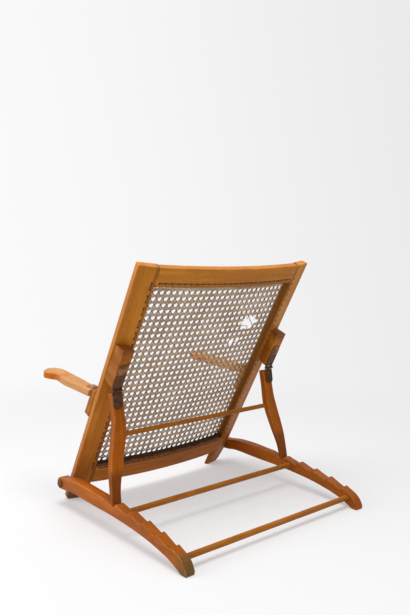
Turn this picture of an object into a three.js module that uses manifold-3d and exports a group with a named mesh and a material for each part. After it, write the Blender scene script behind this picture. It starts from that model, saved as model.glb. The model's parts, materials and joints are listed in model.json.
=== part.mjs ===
import * as THREE from 'three';
import { mergeVertices } from 'three/addons/utils/BufferGeometryUtils.js';
import Module from 'manifold-3d';

const wasm = await Module();
wasm.setup();

// A deck chair's frame with a caned back that is held up by a strut frame in a notched base.
// Millimetres, +Z up, +X to the sitter's left, +Y to the rear, the floor at Z = 0.

// Clearances
const fitGap = 0.3;
const turnGap = 0.5;
const slopeGap = 0.35;
const cutOverrun = 60;

// Angles of the frame as it stands in its first notch
const backLean = THREE.MathUtils.degToRad(26.8);
const stileTurn = THREE.MathUtils.degToRad(15);
const stileSplay = THREE.MathUtils.degToRad(1);
const armRise = THREE.MathUtils.degToRad(3.8);
const railNoseFrom = THREE.MathUtils.degToRad(245);
const railNoseTo = THREE.MathUtils.degToRad(76);

// Stiles of the back
const stileWidth = 48;
const stileThickness = 17;
const stileTop = 580;
const stileOffset = 220.5;
const stileDepth = 3.4;
const footChamferWidth = 7;
const footChamferHeight = 11;
const footTaperDepth = 5;
const footTaperHeight = 50;

// Curved rails of the back
const backRailRadius = 1750;
const backRailThickness = 15;
const backRailBow = 29.8;
const topRailHeight = 46.5;
const bottomRailHeight = 55;
const bottomRailFrom = -1;
const backRailSteps = 16;
const tenonThickness = 7;
const tenonLength = 25;
const tenonRoot = 5;
const tenonShoulder = 9.5;

// Caned panel
const caneThickness = 2;
const caneLap = 8;
const caneBorder = 13;
const caneBar = 11;
const caneColumns = 13;
const caneRows = 16;
const caneFlatShare = 0.5;

// Base rails
const railThickness = 23;
const railHeight = 73.7;
const railClearance = 3;
const pivotHeight = 52.7;
const railEndRadius = 14.5;
const notchFirst = 212.3;
const notchPitch = 46.3;
const notchWallRun = 4.7;
const railTail = 51.5;
const notchFloorShares = [0.834, 0.8, 0.733, 0.634, 0.495];
const notchCrestShares = [0.936, 0.896, 0.821, 0.726, 0.583];
const railCrestShares = [
  [0.1036, 0.943], [0.1903, 0.978], [0.2961, 0.997], [0.4653, 1], [0.626, 0.977], [0.7995, 0.954],
];
const railTailShares = [
  [0.59, 0.434], [0.782, 0.335], [0.887, 0.244], [0.974, 0.14], [1, 0.081], [0.965, 0],
];
const railBellyShares = [
  [0.964, 0], [0.934, 0.1], [0.889, 0.21], [0.83, 0.305], [0.759, 0.393], [0.69, 0.455],
  [0.615, 0.502], [0.494, 0.55], [0.4, 0.566], [0.305, 0.57], [0.2, 0.588], [0.138, 0.604],
  [0.08, 0.6], [0.04, 0.56],
];

// Dowels that tie the base rails and the struts
const baseDowelRadius = 6.5;
const baseDowelDepth = 12;
const frontDowelShares = [0.5285, 0.74];
const rearDowelShares = [0.934, 0.315];
const strutDowelRadius = 5.5;
const strutDowelDepth = 11;
const strutDowelDrop = 95;

// Pivot of the back on the base rails
const pivotRadius = 4;
const pivotDepth = 18;
const pivotHeadRadius = 7.5;
const pivotHeadHeight = 4;
const pivotSlotWidth = 1.6;
const pivotSlotDepth = 1.5;
const washerRadius = 9;
const washerThickness = 1.5;
const spacerRadius = 8.5;
const spotFaceDepth = 4.7;

// Blocks that carry the strut hinges
const hingeBlockInset = 1;
const hingeBlockWidth = 30;
const hingeBlockRear = 37;
const hingeBlockFrom = 299;
const hingeBlockHeight = 94;
const hingeBlockTopDrop = 4;
const hingeBlockToeRise = 6;
const hingeBlockToe = 13;

// Strut hinges
const leafWidth = 24;
const leafThickness = 2;
const upperLeafLength = 64;
const lowerLeafLength = 39;
const leafCornerRadius = 9;
const knuckleRadius = 3.6;
const hingePinRadius = 1.5;
const knuckleBelowBlock = 5.3;

// Screws of the strut hinges
const leafScrewRadius = 1.6;
const leafScrewHeadRadius = 3.4;
const leafScrewLength = 14;
const leafScrewPair = 13;
const upperScrewNear = 14;
const upperScrewFar = 34;
const lowerScrewNear = 12;
const lowerScrewFar = 28;

// Struts
const strutThickness = 16;
const strutTopDrop = 5;
const strutTopInset = 3.5;
const strutTopWidth = 31;
const strutFootSlack = 0.4;
const strutStations = 18;
const strutFrontShares = [[0, 1], [0.3, 1], [0.55, 0.97], [0.78, 0.7], [1, 0.54]];
const strutOuterShares = [
  [0, 0], [0.08, -0.08], [0.16, -0.12], [0.28, -0.05], [0.364, 0.105], [0.45, 0.29],
  [0.527, 0.47], [0.587, 0.61], [0.733, 0.87], [0.866, 0.96], [1, 1],
];
const strutInnerShares = [
  [0, 0], [0.15, 0.04], [0.3, 0.02], [0.356, 0.04], [0.437, 0.165], [0.493, 0.266],
  [0.561, 0.4], [0.686, 0.63], [0.814, 0.88], [0.908, 0.98], [1, 1],
];

// Arms
const armWidth = 44;
const armInset = 13.5;
const armThickness = 16.5;
const armLength = 210;
const armRoot = 20;
const armRootShare = 0.34;
const armCurveSteps = 30;
const armEdgeShares = [
  [0.3, 1], [0.494, 1.01], [0.608, 0.93], [0.71, 0.85], [0.75, 0.88], [0.785, 1], [0.83, 1.1],
  [0.878, 1.16], [0.925, 1.08], [0.965, 0.88], [0.99, 0.68], [1, 0.46], [0.98, 0.22],
  [0.922, 0.07], [0.856, 0], [0.75, 0.02], [0.656, 0.06], [0.465, 0.125], [0.265, 0.22],
  [0.127, 0.295],
];

// Blocks that carry the arm hinges
const armBlockInset = 4.5;
const armBlockWidth = 30;
const armBlockFront = 28;
const armBlockBelow = 65;
const armPinHeight = 248;

// Arm hinges
const armLeafWidth = 22;
const armLeafThickness = 1.5;
const armLeafLength = 28;
const armLeafCorner = 4;
const armKnuckleRadius = 3;
const armPinRadius = 1.2;
const armScrewRadius = 1.5;
const armScrewHeadRadius = 3;
const armScrewLength = 12;
const armScrewPair = 12;
const armScrewPlace = 18;
const armFixedLeafInset = 1.5;
const armFixedScrewInset = 7;

// Sides of the round pieces
const dowelSides = 24;
const pivotSides = 20;
const knuckleSides = 14;
const screwSides = 10;
const cornerSteps = 4;
const railNoseSteps = 8;

// Materials
const waxedWood = { color: '#b9722f', roughness: 0.42, metalness: 0 };
const darkWood = { color: '#a5622a', roughness: 0.45, metalness: 0 };
const paleWood = { color: '#c48a52', roughness: 0.5, metalness: 0 };
const agedCane = { color: '#9c8876', roughness: 0.75, metalness: 0 };
const bronze = { color: '#4a3a30', roughness: 0.45, metalness: 0.85 };
const agedSteel = { color: '#6b625a', roughness: 0.5, metalness: 0.8 };

// Solids from geometries
function solid(geometry) {
  const bare = geometry.clone();
  bare.deleteAttribute('normal');
  bare.deleteAttribute('uv');
  const merged = mergeVertices(bare);
  return new wasm.Manifold(new wasm.Mesh({
    numProp: 3,
    vertProperties: new Float32Array(merged.attributes.position.array),
    triVerts: new Uint32Array(merged.index.array),
  }));
}

function geometryOf(body) {
  const mesh = body.getMesh();
  const geometry = new THREE.BufferGeometry();
  geometry.setAttribute('position', new THREE.BufferAttribute(new Float32Array(mesh.vertProperties), 3));
  geometry.setIndex(new THREE.BufferAttribute(new Uint32Array(mesh.triVerts), 1));
  geometry.computeVertexNormals();
  return geometry;
}

function mirrored(body) {
  const geometry = geometryOf(body).scale(-1, 1, 1);
  const index = geometry.index.array;
  for (let k = 0; k < index.length; k += 3) {
    [index[k], index[k + 1]] = [index[k + 1], index[k]];
  }
  return solid(geometry);
}

function addMesh(group, name, body, look) {
  const mesh = new THREE.Mesh(geometryOf(body), new THREE.MeshStandardMaterial(look));
  mesh.name = name;
  group.add(mesh);
}

function addPair(group, name, body, look) {
  addMesh(group, name + '_left', body, look);
  addMesh(group, name + '_right', mirrored(body), look);
}

// A box between two corners
function box(fromX, toX, fromY, toY, fromZ, toZ) {
  const geometry = new THREE.BoxGeometry(toX - fromX, toY - fromY, toZ - fromZ);
  return geometry.translate((fromX + toX) / 2, (fromY + toY) / 2, (fromZ + toZ) / 2);
}

function outline(points) {
  return new THREE.Shape(points.map(([a, b]) => new THREE.Vector2(a, b)));
}

// A prism whose outline lies in Y and Z
function sidePrism(points, fromX, toX) {
  const geometry = new THREE.ExtrudeGeometry(outline(points), { depth: toX - fromX, bevelEnabled: false });
  const turn = new THREE.Matrix4().makeBasis(
    new THREE.Vector3(0, 1, 0), new THREE.Vector3(0, 0, 1), new THREE.Vector3(1, 0, 0));
  return geometry.applyMatrix4(turn).translate(fromX, 0, 0);
}

// A prism whose outline lies in X and Z
function rearPrism(points, fromY, toY) {
  const geometry = new THREE.ExtrudeGeometry(outline(points), { depth: toY - fromY, bevelEnabled: false });
  return geometry.rotateX(Math.PI / 2).translate(0, toY, 0);
}

// A prism whose outline lies in X and Y
function levelPrism(points, fromZ, toZ) {
  const geometry = new THREE.ExtrudeGeometry(outline(points), { depth: toZ - fromZ, bevelEnabled: false });
  return geometry.translate(0, 0, fromZ);
}

// A round bar along X
function crossBar(radius, fromX, toX, sides) {
  const geometry = new THREE.CylinderGeometry(radius, radius, toX - fromX, sides);
  return geometry.rotateZ(Math.PI / 2).translate((fromX + toX) / 2, 0, 0);
}

// The height of a smooth curve through a table of stations and values
function smoothAt(table, place) {
  let k = 0;
  while (k < table.length - 2 && table[k + 1][0] < place) {
    k += 1;
  }
  const slope = (i) => {
    const before = table[Math.max(i - 1, 0)];
    const after = table[Math.min(i + 1, table.length - 1)];
    return (after[1] - before[1]) / (after[0] - before[0]);
  };
  const [startPlace, start] = table[k];
  const [endPlace, end] = table[k + 1];
  const run = endPlace - startPlace;
  const t = (place - startPlace) / run;
  const rise = end - start;
  const startSlope = slope(k) * run;
  const endSlope = slope(k + 1) * run;
  return start + t * (startSlope + t * (3 * rise - 2 * startSlope - endSlope
    + t * (startSlope + endSlope - 2 * rise)));
}

// The base rail's notches, and its length from the pivot to its tail
const notches = notchFloorShares.map((floorShare, k) => ({
  y: notchFirst + k * notchPitch,
  z: floorShare * railHeight,
  crest: notchCrestShares[k] * railHeight,
}));
const railLength = notches.at(-1).y + railTail;

// The groups that turn on one another
const chair = new THREE.Group();
const standing = new THREE.Group();
chair.add(standing);

const back = new THREE.Group();
back.position.set(0, 0, pivotHeight);
back.rotation.x = -backLean;
back.updateMatrix();
standing.add(back);

const ground = solid(box(-railLength, railLength, -railLength, railLength, -cutOverrun - pivotHeight, 0)
  .applyMatrix4(back.matrix.clone().invert()));

// Places on the stiles
const turnCos = Math.cos(stileTurn);
const turnSin = Math.sin(stileTurn);
const stileOuterCorner = stileOffset + (stileWidth * turnCos + stileThickness * turnSin) / 2;
const stileInnerFront = stileOffset - (stileWidth * turnCos + stileThickness * turnSin) / 2;
const stileInnerFrontDepth = stileDepth + (stileWidth * turnSin - stileThickness * turnCos) / 2;
const stileFootDrop = pivotHeight / Math.cos(backLean);
const hingeBlockInner = stileOffset - hingeBlockInset;
const strutTopInner = stileOffset - strutTopInset;
const armBlockInner = stileOffset - armBlockInset;
const armInner = stileOffset - armInset;

function alongStile(geometry) {
  return solid(geometry.rotateZ(-stileTurn).rotateY(stileSplay).translate(stileOffset, stileDepth, 0));
}

// The space past a stile's inner side, before its rear face and behind its front face
const stileReach = 2 * stileTop;

function besideStile(fromX, fromY, toY) {
  return alongStile(box(fromX, stileReach, fromY, toY, -stileReach, stileReach));
}

const pastInnerSide = besideStile(-stileWidth / 2 - fitGap, -stileReach, stileReach);
const beforeRearFace = besideStile(-stileReach, -stileReach, stileThickness / 2 + fitGap);
const behindFrontFace = besideStile(-stileReach, -stileThickness / 2 - fitGap, stileReach);

function tenon(fromZ, toZ, gap) {
  const innerSide = -stileWidth / 2;
  const half = tenonThickness / 2 + gap;
  return alongStile(box(innerSide - tenonRoot, innerSide + tenonLength + gap, -half, half,
    fromZ + tenonShoulder - gap, toZ - tenonShoulder + gap));
}

const railInner = stileOuterCorner + railClearance;
const railOuter = railInner + railThickness;
const spotFace = stileOuterCorner - spotFaceDepth;

function makeStile() {
  const footFrom = -stileFootDrop - cutOverrun;
  let body = alongStile(box(-stileWidth / 2, stileWidth / 2, -stileThickness / 2, stileThickness / 2,
    footFrom, stileTop));
  const chamferInner = stileWidth / 2 - footChamferWidth;
  const chamferTop = -stileFootDrop + footChamferHeight;
  body = body.subtract(alongStile(rearPrism([
    [chamferInner, -stileFootDrop], [chamferInner, footFrom - cutOverrun],
    [stileWidth / 2 + cutOverrun, footFrom - cutOverrun], [stileWidth / 2 + cutOverrun, chamferTop],
    [stileWidth / 2, chamferTop],
  ], -stileThickness - cutOverrun, stileThickness + cutOverrun)));
  const taperFront = stileThickness / 2 - footTaperDepth;
  const taperTop = -stileFootDrop + footTaperHeight;
  body = body.subtract(alongStile(sidePrism([
    [taperFront, footFrom - cutOverrun],
    [stileThickness / 2 + cutOverrun, footFrom - cutOverrun],
    [stileThickness / 2 + cutOverrun, taperTop],
    [stileThickness / 2, taperTop],
    [taperFront, -stileFootDrop],
  ], -stileWidth - cutOverrun, stileWidth + cutOverrun)));
  body = body.subtract(tenon(bottomRailFrom, bottomRailFrom + bottomRailHeight, fitGap));
  body = body.subtract(tenon(stileTop - topRailHeight, stileTop, fitGap));
  body = body.subtract(solid(crossBar(washerRadius, spotFace, spotFace + cutOverrun, pivotSides)));
  body = body.subtract(solid(crossBar(pivotRadius + fitGap, spotFace - pivotDepth - fitGap,
    spotFace + cutOverrun, pivotSides)));
  return body.subtract(ground);
}

// Rails of the back, bowed to the rear
const bowCentre = backRailBow - backRailRadius;

function bowedDepth(radius, x) {
  return bowCentre + Math.sqrt(radius * radius - x * x);
}

function makeBackRail(fromZ, toZ) {
  const half = stileOffset;
  const rear = [];
  const front = [];
  for (let k = 0; k <= backRailSteps; k += 1) {
    const x = half * (2 * k / backRailSteps - 1);
    front.push([x, bowedDepth(backRailRadius - backRailThickness, x)]);
    rear.unshift([x, bowedDepth(backRailRadius, x)]);
  }
  let body = solid(levelPrism([...front, ...rear], fromZ, toZ));
  body = body.subtract(pastInnerSide).subtract(mirrored(pastInnerSide));
  const end = tenon(fromZ, toZ, 0);
  return body.add(end).add(mirrored(end));
}

// Caned panel: a net in front of the rails that laps onto the front of the stiles
function lineShares(count, pitch, bar, border) {
  const whole = 2 * border + count * pitch - bar;
  const lines = [0];
  for (let k = 0; k < count; k += 1) {
    lines.push((border + k * pitch) / whole, (border + (k + 1) * pitch - bar) / whole);
  }
  lines.push(1);
  return lines;
}

function makeCanePanel() {
  const fromZ = bottomRailFrom + bottomRailHeight - caneLap;
  const toZ = stileTop - topRailHeight + caneLap;
  const midHalf = stileInnerFront + Math.tan(stileSplay) * (fromZ + toZ) / 2 + caneLap;
  const across = (2 * midHalf - 2 * caneBorder + caneBar) / caneColumns;
  const upward = (toZ - fromZ - 2 * caneBorder + caneBar) / caneRows;
  const columnShares = lineShares(caneColumns, across, caneBar, caneBorder);
  const rowShares = lineShares(caneRows, upward, caneBar, caneBorder);
  const positions = [];
  for (const rowShare of rowShares) {
    const z = fromZ + (toZ - fromZ) * rowShare;
    const seam = stileInnerFront + Math.tan(stileSplay) * z;
    const bow = 1 - caneFlatShare * 4 * rowShare * (1 - rowShare);
    for (const columnShare of columnShares) {
      const x = (2 * columnShare - 1) * (seam + caneLap);
      const arc = bowedDepth(backRailRadius - backRailThickness, x) - fitGap;
      const bowed = stileInnerFrontDepth + bow * (arc - stileInnerFrontDepth);
      const lapped = stileInnerFrontDepth - slopeGap - (Math.abs(x) - seam) * Math.tan(stileTurn);
      const rear = Math.min(bowed, lapped);
      positions.push(x, rear, z, x, rear - caneThickness, z);
    }
  }
  const columns = columnShares.length;
  const rows = rowShares.length;
  const outside = (i, j) => i < 0 || j < 0 || i >= columns - 1 || j >= rows - 1;
  const open = (i, j) => outside(i, j) || (i % 2 === 1 && j % 2 === 1);
  const at = (i, j, side) => 2 * (j * columns + i) + side;
  const faces = [];
  const quad = (a, b, c, d) => faces.push(a, b, c, a, c, d);
  for (let j = 0; j < rows - 1; j += 1) {
    for (let i = 0; i < columns - 1; i += 1) {
      if (open(i, j)) {
        continue;
      }
      quad(at(i, j, 0), at(i, j + 1, 0), at(i + 1, j + 1, 0), at(i + 1, j, 0));
      quad(at(i, j, 1), at(i + 1, j, 1), at(i + 1, j + 1, 1), at(i, j + 1, 1));
      if (open(i - 1, j)) {
        quad(at(i, j, 0), at(i, j, 1), at(i, j + 1, 1), at(i, j + 1, 0));
      }
      if (open(i + 1, j)) {
        quad(at(i + 1, j, 0), at(i + 1, j + 1, 0), at(i + 1, j + 1, 1), at(i + 1, j, 1));
      }
      if (open(i, j - 1)) {
        quad(at(i, j, 0), at(i + 1, j, 0), at(i + 1, j, 1), at(i, j, 1));
      }
      if (open(i, j + 1)) {
        quad(at(i, j + 1, 0), at(i, j + 1, 1), at(i + 1, j + 1, 1), at(i + 1, j + 1, 0));
      }
    }
  }
  const geometry = new THREE.BufferGeometry();
  geometry.setAttribute('position', new THREE.Float32BufferAttribute(positions, 3));
  geometry.setIndex(faces);
  return solid(geometry);
}

// A countersunk screw along Y, its head's face at zero and its point at minus its length
function screw(radius, headRadius, length, gap) {
  const profile = [
    [0, -length - gap], [radius / 2 + gap, -length + radius], [radius + gap, -length + 2 * radius],
    [radius + gap, radius - headRadius], [headRadius + gap, 0],
  ];
  profile.push(...(gap > 0 ? [[headRadius + gap, headRadius], [0, headRadius]] : [[0, 0]]));
  return new THREE.LatheGeometry(profile.map(([r, y]) => new THREE.Vector2(r, y)), screwSides);
}

// A hinge leaf that stands up from its pin, its back at minus the knuckle's radius
function hingeLeaf(size, outerKnuckles) {
  const half = size.width / 2;
  const sixth = (size.width - 2 * fitGap) / 6;
  const plateFrom = size.knuckle + fitGap;
  const corner = [];
  for (let k = 0; k <= cornerSteps; k += 1) {
    const angle = Math.PI / 2 * k / cornerSteps;
    corner.push([half - size.corner + size.corner * Math.cos(angle),
      size.length - size.corner + size.corner * Math.sin(angle)]);
  }
  const otherCorner = corner.map(([x, z]) => [-x, z]).reverse();
  const plate = [[half, plateFrom], ...corner, ...otherCorner, [-half, plateFrom]];
  let body = solid(rearPrism(plate, -size.knuckle, -size.knuckle + size.thickness));
  const zones = outerKnuckles
    ? [[-half, -sixth - fitGap], [sixth + fitGap, half]]
    : [[-sixth, sixth]];
  for (const [fromX, toX] of zones) {
    body = body.add(solid(box(fromX, toX, -size.knuckle, -size.knuckle + size.thickness,
      0, plateFrom + size.thickness)));
    body = body.add(solid(crossBar(size.knuckle, fromX, toX, knuckleSides)));
  }
  return body.subtract(solid(crossBar(size.pin + fitGap, -size.width, size.width, knuckleSides)));
}

const strutHinge = {
  width: leafWidth, thickness: leafThickness, length: upperLeafLength, corner: leafCornerRadius,
  knuckle: knuckleRadius, pin: hingePinRadius,
};
const armHinge = {
  width: armLeafWidth, thickness: armLeafThickness, length: armLeafLength, corner: armLeafCorner,
  knuckle: armKnuckleRadius, pin: armPinRadius,
};

// Places of a leaf's screws, as across and along
function screwPair(across, along) {
  return [[-across / 2, along], [across / 2, along]];
}

const upperScrewPlaces = [...screwPair(leafScrewPair, upperScrewNear), [0, upperScrewFar]];
const lowerScrewPlaces = [...screwPair(leafScrewPair, lowerScrewNear), [0, lowerScrewFar]];
const armScrewPlaces = screwPair(armScrewPair, armScrewPlace);

function strutScrew([across, along], gap) {
  return screw(leafScrewRadius, leafScrewHeadRadius, leafScrewLength, gap)
    .translate(across, leafThickness - knuckleRadius, along);
}

function armScrew([across, along], gap) {
  return screw(armScrewRadius, armScrewHeadRadius, armScrewLength, gap)
    .translate(across, armLeafThickness - armKnuckleRadius, along);
}

// The strut hinge's pin in the back's own frame
const strutPinDepth = hingeBlockRear + knuckleRadius + fitGap;
const strutPinHeight = hingeBlockFrom - knuckleBelowBlock;
const hingeMiddle = hingeBlockInner + hingeBlockWidth / 2;

function onHingeBlock(geometry) {
  return solid(geometry.translate(hingeMiddle, strutPinDepth, strutPinHeight));
}

function makeHingeBlock() {
  const top = hingeBlockFrom + hingeBlockHeight;
  let body = solid(sidePrism([
    [-stileThickness, hingeBlockFrom + hingeBlockToeRise], [hingeBlockRear - hingeBlockToe, hingeBlockFrom],
    [hingeBlockRear, hingeBlockFrom], [hingeBlockRear, top], [-stileThickness, top - hingeBlockTopDrop],
  ], hingeBlockInner, hingeBlockInner + hingeBlockWidth));
  body = body.subtract(beforeRearFace);
  for (const place of upperScrewPlaces) {
    body = body.subtract(onHingeBlock(strutScrew(place, fitGap)));
  }
  return body;
}

// The arm hinge's pin in the back's own frame
const armPinDepth = -armBlockFront - armKnuckleRadius - fitGap;
const armHingeMiddle = armBlockInner + armBlockWidth / 2;

// At rest the top of the arm block goes on in line with the top of the arm
const armTurn = backLean - armRise;
const armTop = -armKnuckleRadius - fitGap;

function armTopHeight(depth) {
  return armPinHeight + (armTop + Math.sin(armTurn) * (depth - armPinDepth)) / Math.cos(armTurn);
}

// The fixed leaf lies on the block's top and ends short of the stile
const armBlockEndDepth = stileInnerFrontDepth
  - (armBlockInner + armBlockWidth - stileInnerFront) * Math.tan(stileTurn);
const armFixedLeafLength = (armBlockEndDepth - armPinDepth + armTop * Math.sin(armTurn))
  / Math.cos(armTurn) - armFixedLeafInset;
const armFixedScrewPlaces = screwPair(armScrewPair, armFixedLeafLength - armFixedScrewInset);

function onArmBlock(geometry) {
  return solid(geometry.rotateX(Math.PI / 2).rotateZ(Math.PI).rotateX(armTurn)
    .translate(armHingeMiddle, armPinDepth, armPinHeight));
}

function makeArmBlock() {
  const low = armPinHeight - armBlockBelow;
  let body = solid(sidePrism([
    [-armBlockFront, low], [0, low], [0, armTopHeight(0)], [-armBlockFront, armTopHeight(-armBlockFront)],
  ], armBlockInner, armBlockInner + armBlockWidth));
  body = body.subtract(behindFrontFace);
  for (const place of armFixedScrewPlaces) {
    body = body.subtract(onArmBlock(armScrew(place, fitGap)));
  }
  return body;
}

// Back frame
addPair(back, 'stile', makeStile(), waxedWood);
addMesh(back, 'bottom_rail', makeBackRail(bottomRailFrom, bottomRailFrom + bottomRailHeight), waxedWood);
addMesh(back, 'top_rail', makeBackRail(stileTop - topRailHeight, stileTop), waxedWood);
addMesh(back, 'cane_panel', makeCanePanel(), agedCane);
addPair(back, 'hinge_block', makeHingeBlock(), waxedWood);
addPair(back, 'arm_block', makeArmBlock(), darkWood);

// Fixed leaves, pins and screws on the back
function pierced(leaf, places, makeScrew) {
  let body = leaf;
  for (const place of places) {
    body = body.subtract(solid(makeScrew(place, fitGap)));
  }
  return geometryOf(body);
}

addPair(back, 'strut_hinge_upper_leaf',
  onHingeBlock(pierced(hingeLeaf(strutHinge, true), upperScrewPlaces, strutScrew)), bronze);
addPair(back, 'strut_hinge_pin',
  onHingeBlock(crossBar(hingePinRadius, -leafWidth / 2, leafWidth / 2, knuckleSides)), agedSteel);
upperScrewPlaces.forEach((place, k) => {
  addPair(back, 'upper_leaf_screw_' + (k + 1), onHingeBlock(strutScrew(place, 0)), agedSteel);
});
const fixedHinge = { ...armHinge, length: armFixedLeafLength };
addPair(back, 'arm_hinge_fixed_leaf',
  onArmBlock(pierced(hingeLeaf(fixedHinge, true), armFixedScrewPlaces, armScrew)), bronze);
addPair(back, 'arm_hinge_pin',
  onArmBlock(crossBar(armPinRadius, -armLeafWidth / 2, armLeafWidth / 2, knuckleSides)), agedSteel);
armFixedScrewPlaces.forEach((place, k) => {
  addPair(back, 'arm_fixed_leaf_screw_' + (k + 1), onArmBlock(armScrew(place, 0)), agedSteel);
});

// Pivot screws with their washers and spacers
const washerFrom = railOuter + fitGap;
const headFrom = washerFrom + washerThickness + fitGap;

function makePivotScrew() {
  const point = spotFace - pivotDepth;
  const headTo = headFrom + pivotHeadHeight;
  const profile = [
    [0, point], [pivotRadius / 2, point], [pivotRadius, point + pivotRadius],
    [pivotRadius, headFrom], [pivotHeadRadius, headFrom], [pivotHeadRadius, (headFrom + headTo) / 2],
    [pivotHeadRadius / 2, headTo], [0, headTo],
  ];
  const turned = new THREE.LatheGeometry(profile.map(([r, x]) => new THREE.Vector2(r, x)), pivotSides);
  const slot = box(headTo - pivotSlotDepth, headTo + cutOverrun,
    -pivotSlotWidth / 2, pivotSlotWidth / 2, -washerRadius, washerRadius);
  return solid(turned.rotateZ(-Math.PI / 2)).subtract(solid(slot));
}

function pivotRing(radius, fromX, toX) {
  const hole = solid(crossBar(pivotRadius + fitGap, fromX - cutOverrun, toX + cutOverrun, pivotSides));
  return solid(crossBar(radius, fromX, toX, pivotSides)).subtract(hole);
}

const washer = pivotRing(washerRadius, washerFrom, washerFrom + washerThickness);
const spacer = pivotRing(spacerRadius, spotFace + fitGap, railInner - fitGap);

addPair(back, 'pivot_screw', makePivotScrew(), agedSteel);
addPair(back, 'pivot_washer', washer, agedSteel);
addPair(back, 'pivot_spacer', spacer, agedSteel);

// Base rails: a round front end on the pivot, a crest, a row of notches and a tail on the floor
function fromShares(shares, from, run) {
  return shares.map(([along, up]) => [from + along * run, up * railHeight]);
}

function makeBaseRail() {
  const nose = [];
  for (let k = 0; k <= railNoseSteps; k += 1) {
    const angle = railNoseFrom + (railNoseTo - railNoseFrom) * k / railNoseSteps;
    nose.push([railEndRadius * Math.cos(angle), pivotHeight + railEndRadius * Math.sin(angle)]);
  }
  const teeth = notches.flatMap(({ y, z, crest }) => [[y, z], [y + notchWallRun, crest]]);
  const crest = fromShares(railCrestShares, 0, notchFirst);
  const tail = fromShares(railTailShares, notches.at(-1).y, railTail);
  const belly = fromShares(railBellyShares, 0, railLength);
  const points = [...nose, ...crest, ...teeth, ...tail, ...belly];
  const bore = crossBar(pivotRadius + turnGap, railInner - cutOverrun, railOuter + cutOverrun, pivotSides);
  let body = solid(sidePrism(points.reverse(), railInner, railOuter));
  body = body.subtract(solid(bore.translate(0, 0, pivotHeight)));
  for (const shares of [frontDowelShares, rearDowelShares]) {
    body = body.subtract(baseDowel(shares, fitGap));
  }
  return body;
}

function baseDowel([along, up], gap) {
  const reach = railInner + baseDowelDepth + gap;
  return solid(crossBar(baseDowelRadius + gap, -reach, reach, dowelSides)
    .translate(0, along * railLength, up * railHeight));
}

addPair(standing, 'base_rail', makeBaseRail(), waxedWood);
addMesh(standing, 'base_dowel_front', baseDowel(frontDowelShares, 0), darkWood);
addMesh(standing, 'base_dowel_rear', baseDowel(rearDowelShares, 0), darkWood);

// Strut frame: its foot stands in the first notch
const strutPinInStanding = new THREE.Vector3(0, strutPinDepth, strutPinHeight).applyMatrix4(back.matrix);
const footY = notches[0].y - strutFootSlack - strutPinInStanding.y;
const footZ = strutPinInStanding.z - notches[0].z - slopeGap;
const strutRear = -knuckleRadius - fitGap;
const strutReach = Math.sqrt(footY * footY + footZ * footZ - strutRear * strutRear);
const strutTilt = Math.atan2(footY, footZ) - Math.atan2(strutRear, strutReach);
const notchSlope = Math.atan2(railCrestShares.at(-1)[1] * railHeight - notches[0].z,
  notches[0].y - railCrestShares.at(-1)[0] * notchFirst);

const strutFrame = new THREE.Group();
strutFrame.position.set(0, strutPinDepth, strutPinHeight);
strutFrame.rotation.x = backLean + strutTilt;
back.add(strutFrame);

function strutEdge(table, top, foot, s) {
  return top + (foot - top) * smoothAt(table, s);
}

function strutInnerAt(s) {
  return strutEdge(strutInnerShares, strutTopInner, railInner, s);
}

function strutThicknessAt(s) {
  return strutThickness * smoothAt(strutFrontShares, s);
}

const strutDowelStation = (strutDowelDrop - strutTopDrop) / (strutReach - strutTopDrop);

function strutDowel(gap) {
  const reach = strutInnerAt(strutDowelStation) + strutDowelDepth + gap;
  const depth = strutRear - strutThicknessAt(strutDowelStation) / 2;
  return solid(crossBar(strutDowelRadius + gap, -reach, reach, dowelSides)
    .translate(0, depth, -strutDowelDrop));
}

function makeStrut() {
  const outer = [];
  const inner = [];
  const front = [];
  const down = (s) => -strutTopDrop - s * (strutReach - strutTopDrop);
  for (let k = 0; k <= strutStations; k += 1) {
    const s = k / strutStations;
    outer.unshift([strutEdge(strutOuterShares, strutTopInner + strutTopWidth, railOuter, s), down(s)]);
    inner.push([strutInnerAt(s), down(s)]);
    front.push([strutRear - strutThicknessAt(s), down(s)]);
  }
  const footThickness = strutThicknessAt(1);
  const bevel = footThickness * Math.tan(notchSlope + strutTilt);
  const kept = front.filter(([, z]) => z > -strutReach + bevel);
  const foot = [[strutRear - footThickness, -strutReach + bevel], [strutRear, -strutReach]];
  const side = [[strutRear, down(0)], ...kept, ...foot];
  let body = solid(rearPrism([...inner, ...outer], -strutReach, strutReach));
  body = body.intersect(solid(sidePrism(side, 0, railOuter + cutOverrun)));
  body = body.subtract(strutDowel(fitGap));
  for (const place of lowerScrewPlaces) {
    body = body.subtract(onStrut(strutScrew(place, fitGap)));
  }
  return body;
}

function onStrut(geometry) {
  return solid(geometry.rotateY(Math.PI).translate(hingeMiddle, 0, 0));
}

addPair(strutFrame, 'strut', makeStrut(), waxedWood);
addMesh(strutFrame, 'strut_dowel', strutDowel(0), darkWood);
const lowerHinge = { ...strutHinge, length: lowerLeafLength };
addPair(strutFrame, 'strut_hinge_lower_leaf',
  onStrut(pierced(hingeLeaf(lowerHinge, false), lowerScrewPlaces, strutScrew)), bronze);
lowerScrewPlaces.forEach((place, k) => {
  addPair(strutFrame, 'lower_leaf_screw_' + (k + 1), onStrut(strutScrew(place, 0)), agedSteel);
});

// Arms, each folding up on its own hinge
const armGroup = new THREE.Group();
armGroup.position.set(0, armPinDepth, armPinHeight);
armGroup.rotation.x = armTurn;
armGroup.updateMatrix();
back.add(armGroup);

const blockFrontPlane = solid(box(0, 2 * stileOffset, -armBlockFront - fitGap, stileTop, 0, stileTop)
  .applyMatrix4(armGroup.matrix.clone().invert()));

function onArm(geometry) {
  return solid(geometry.rotateX(Math.PI / 2).translate(armHingeMiddle, 0, 0));
}

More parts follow.
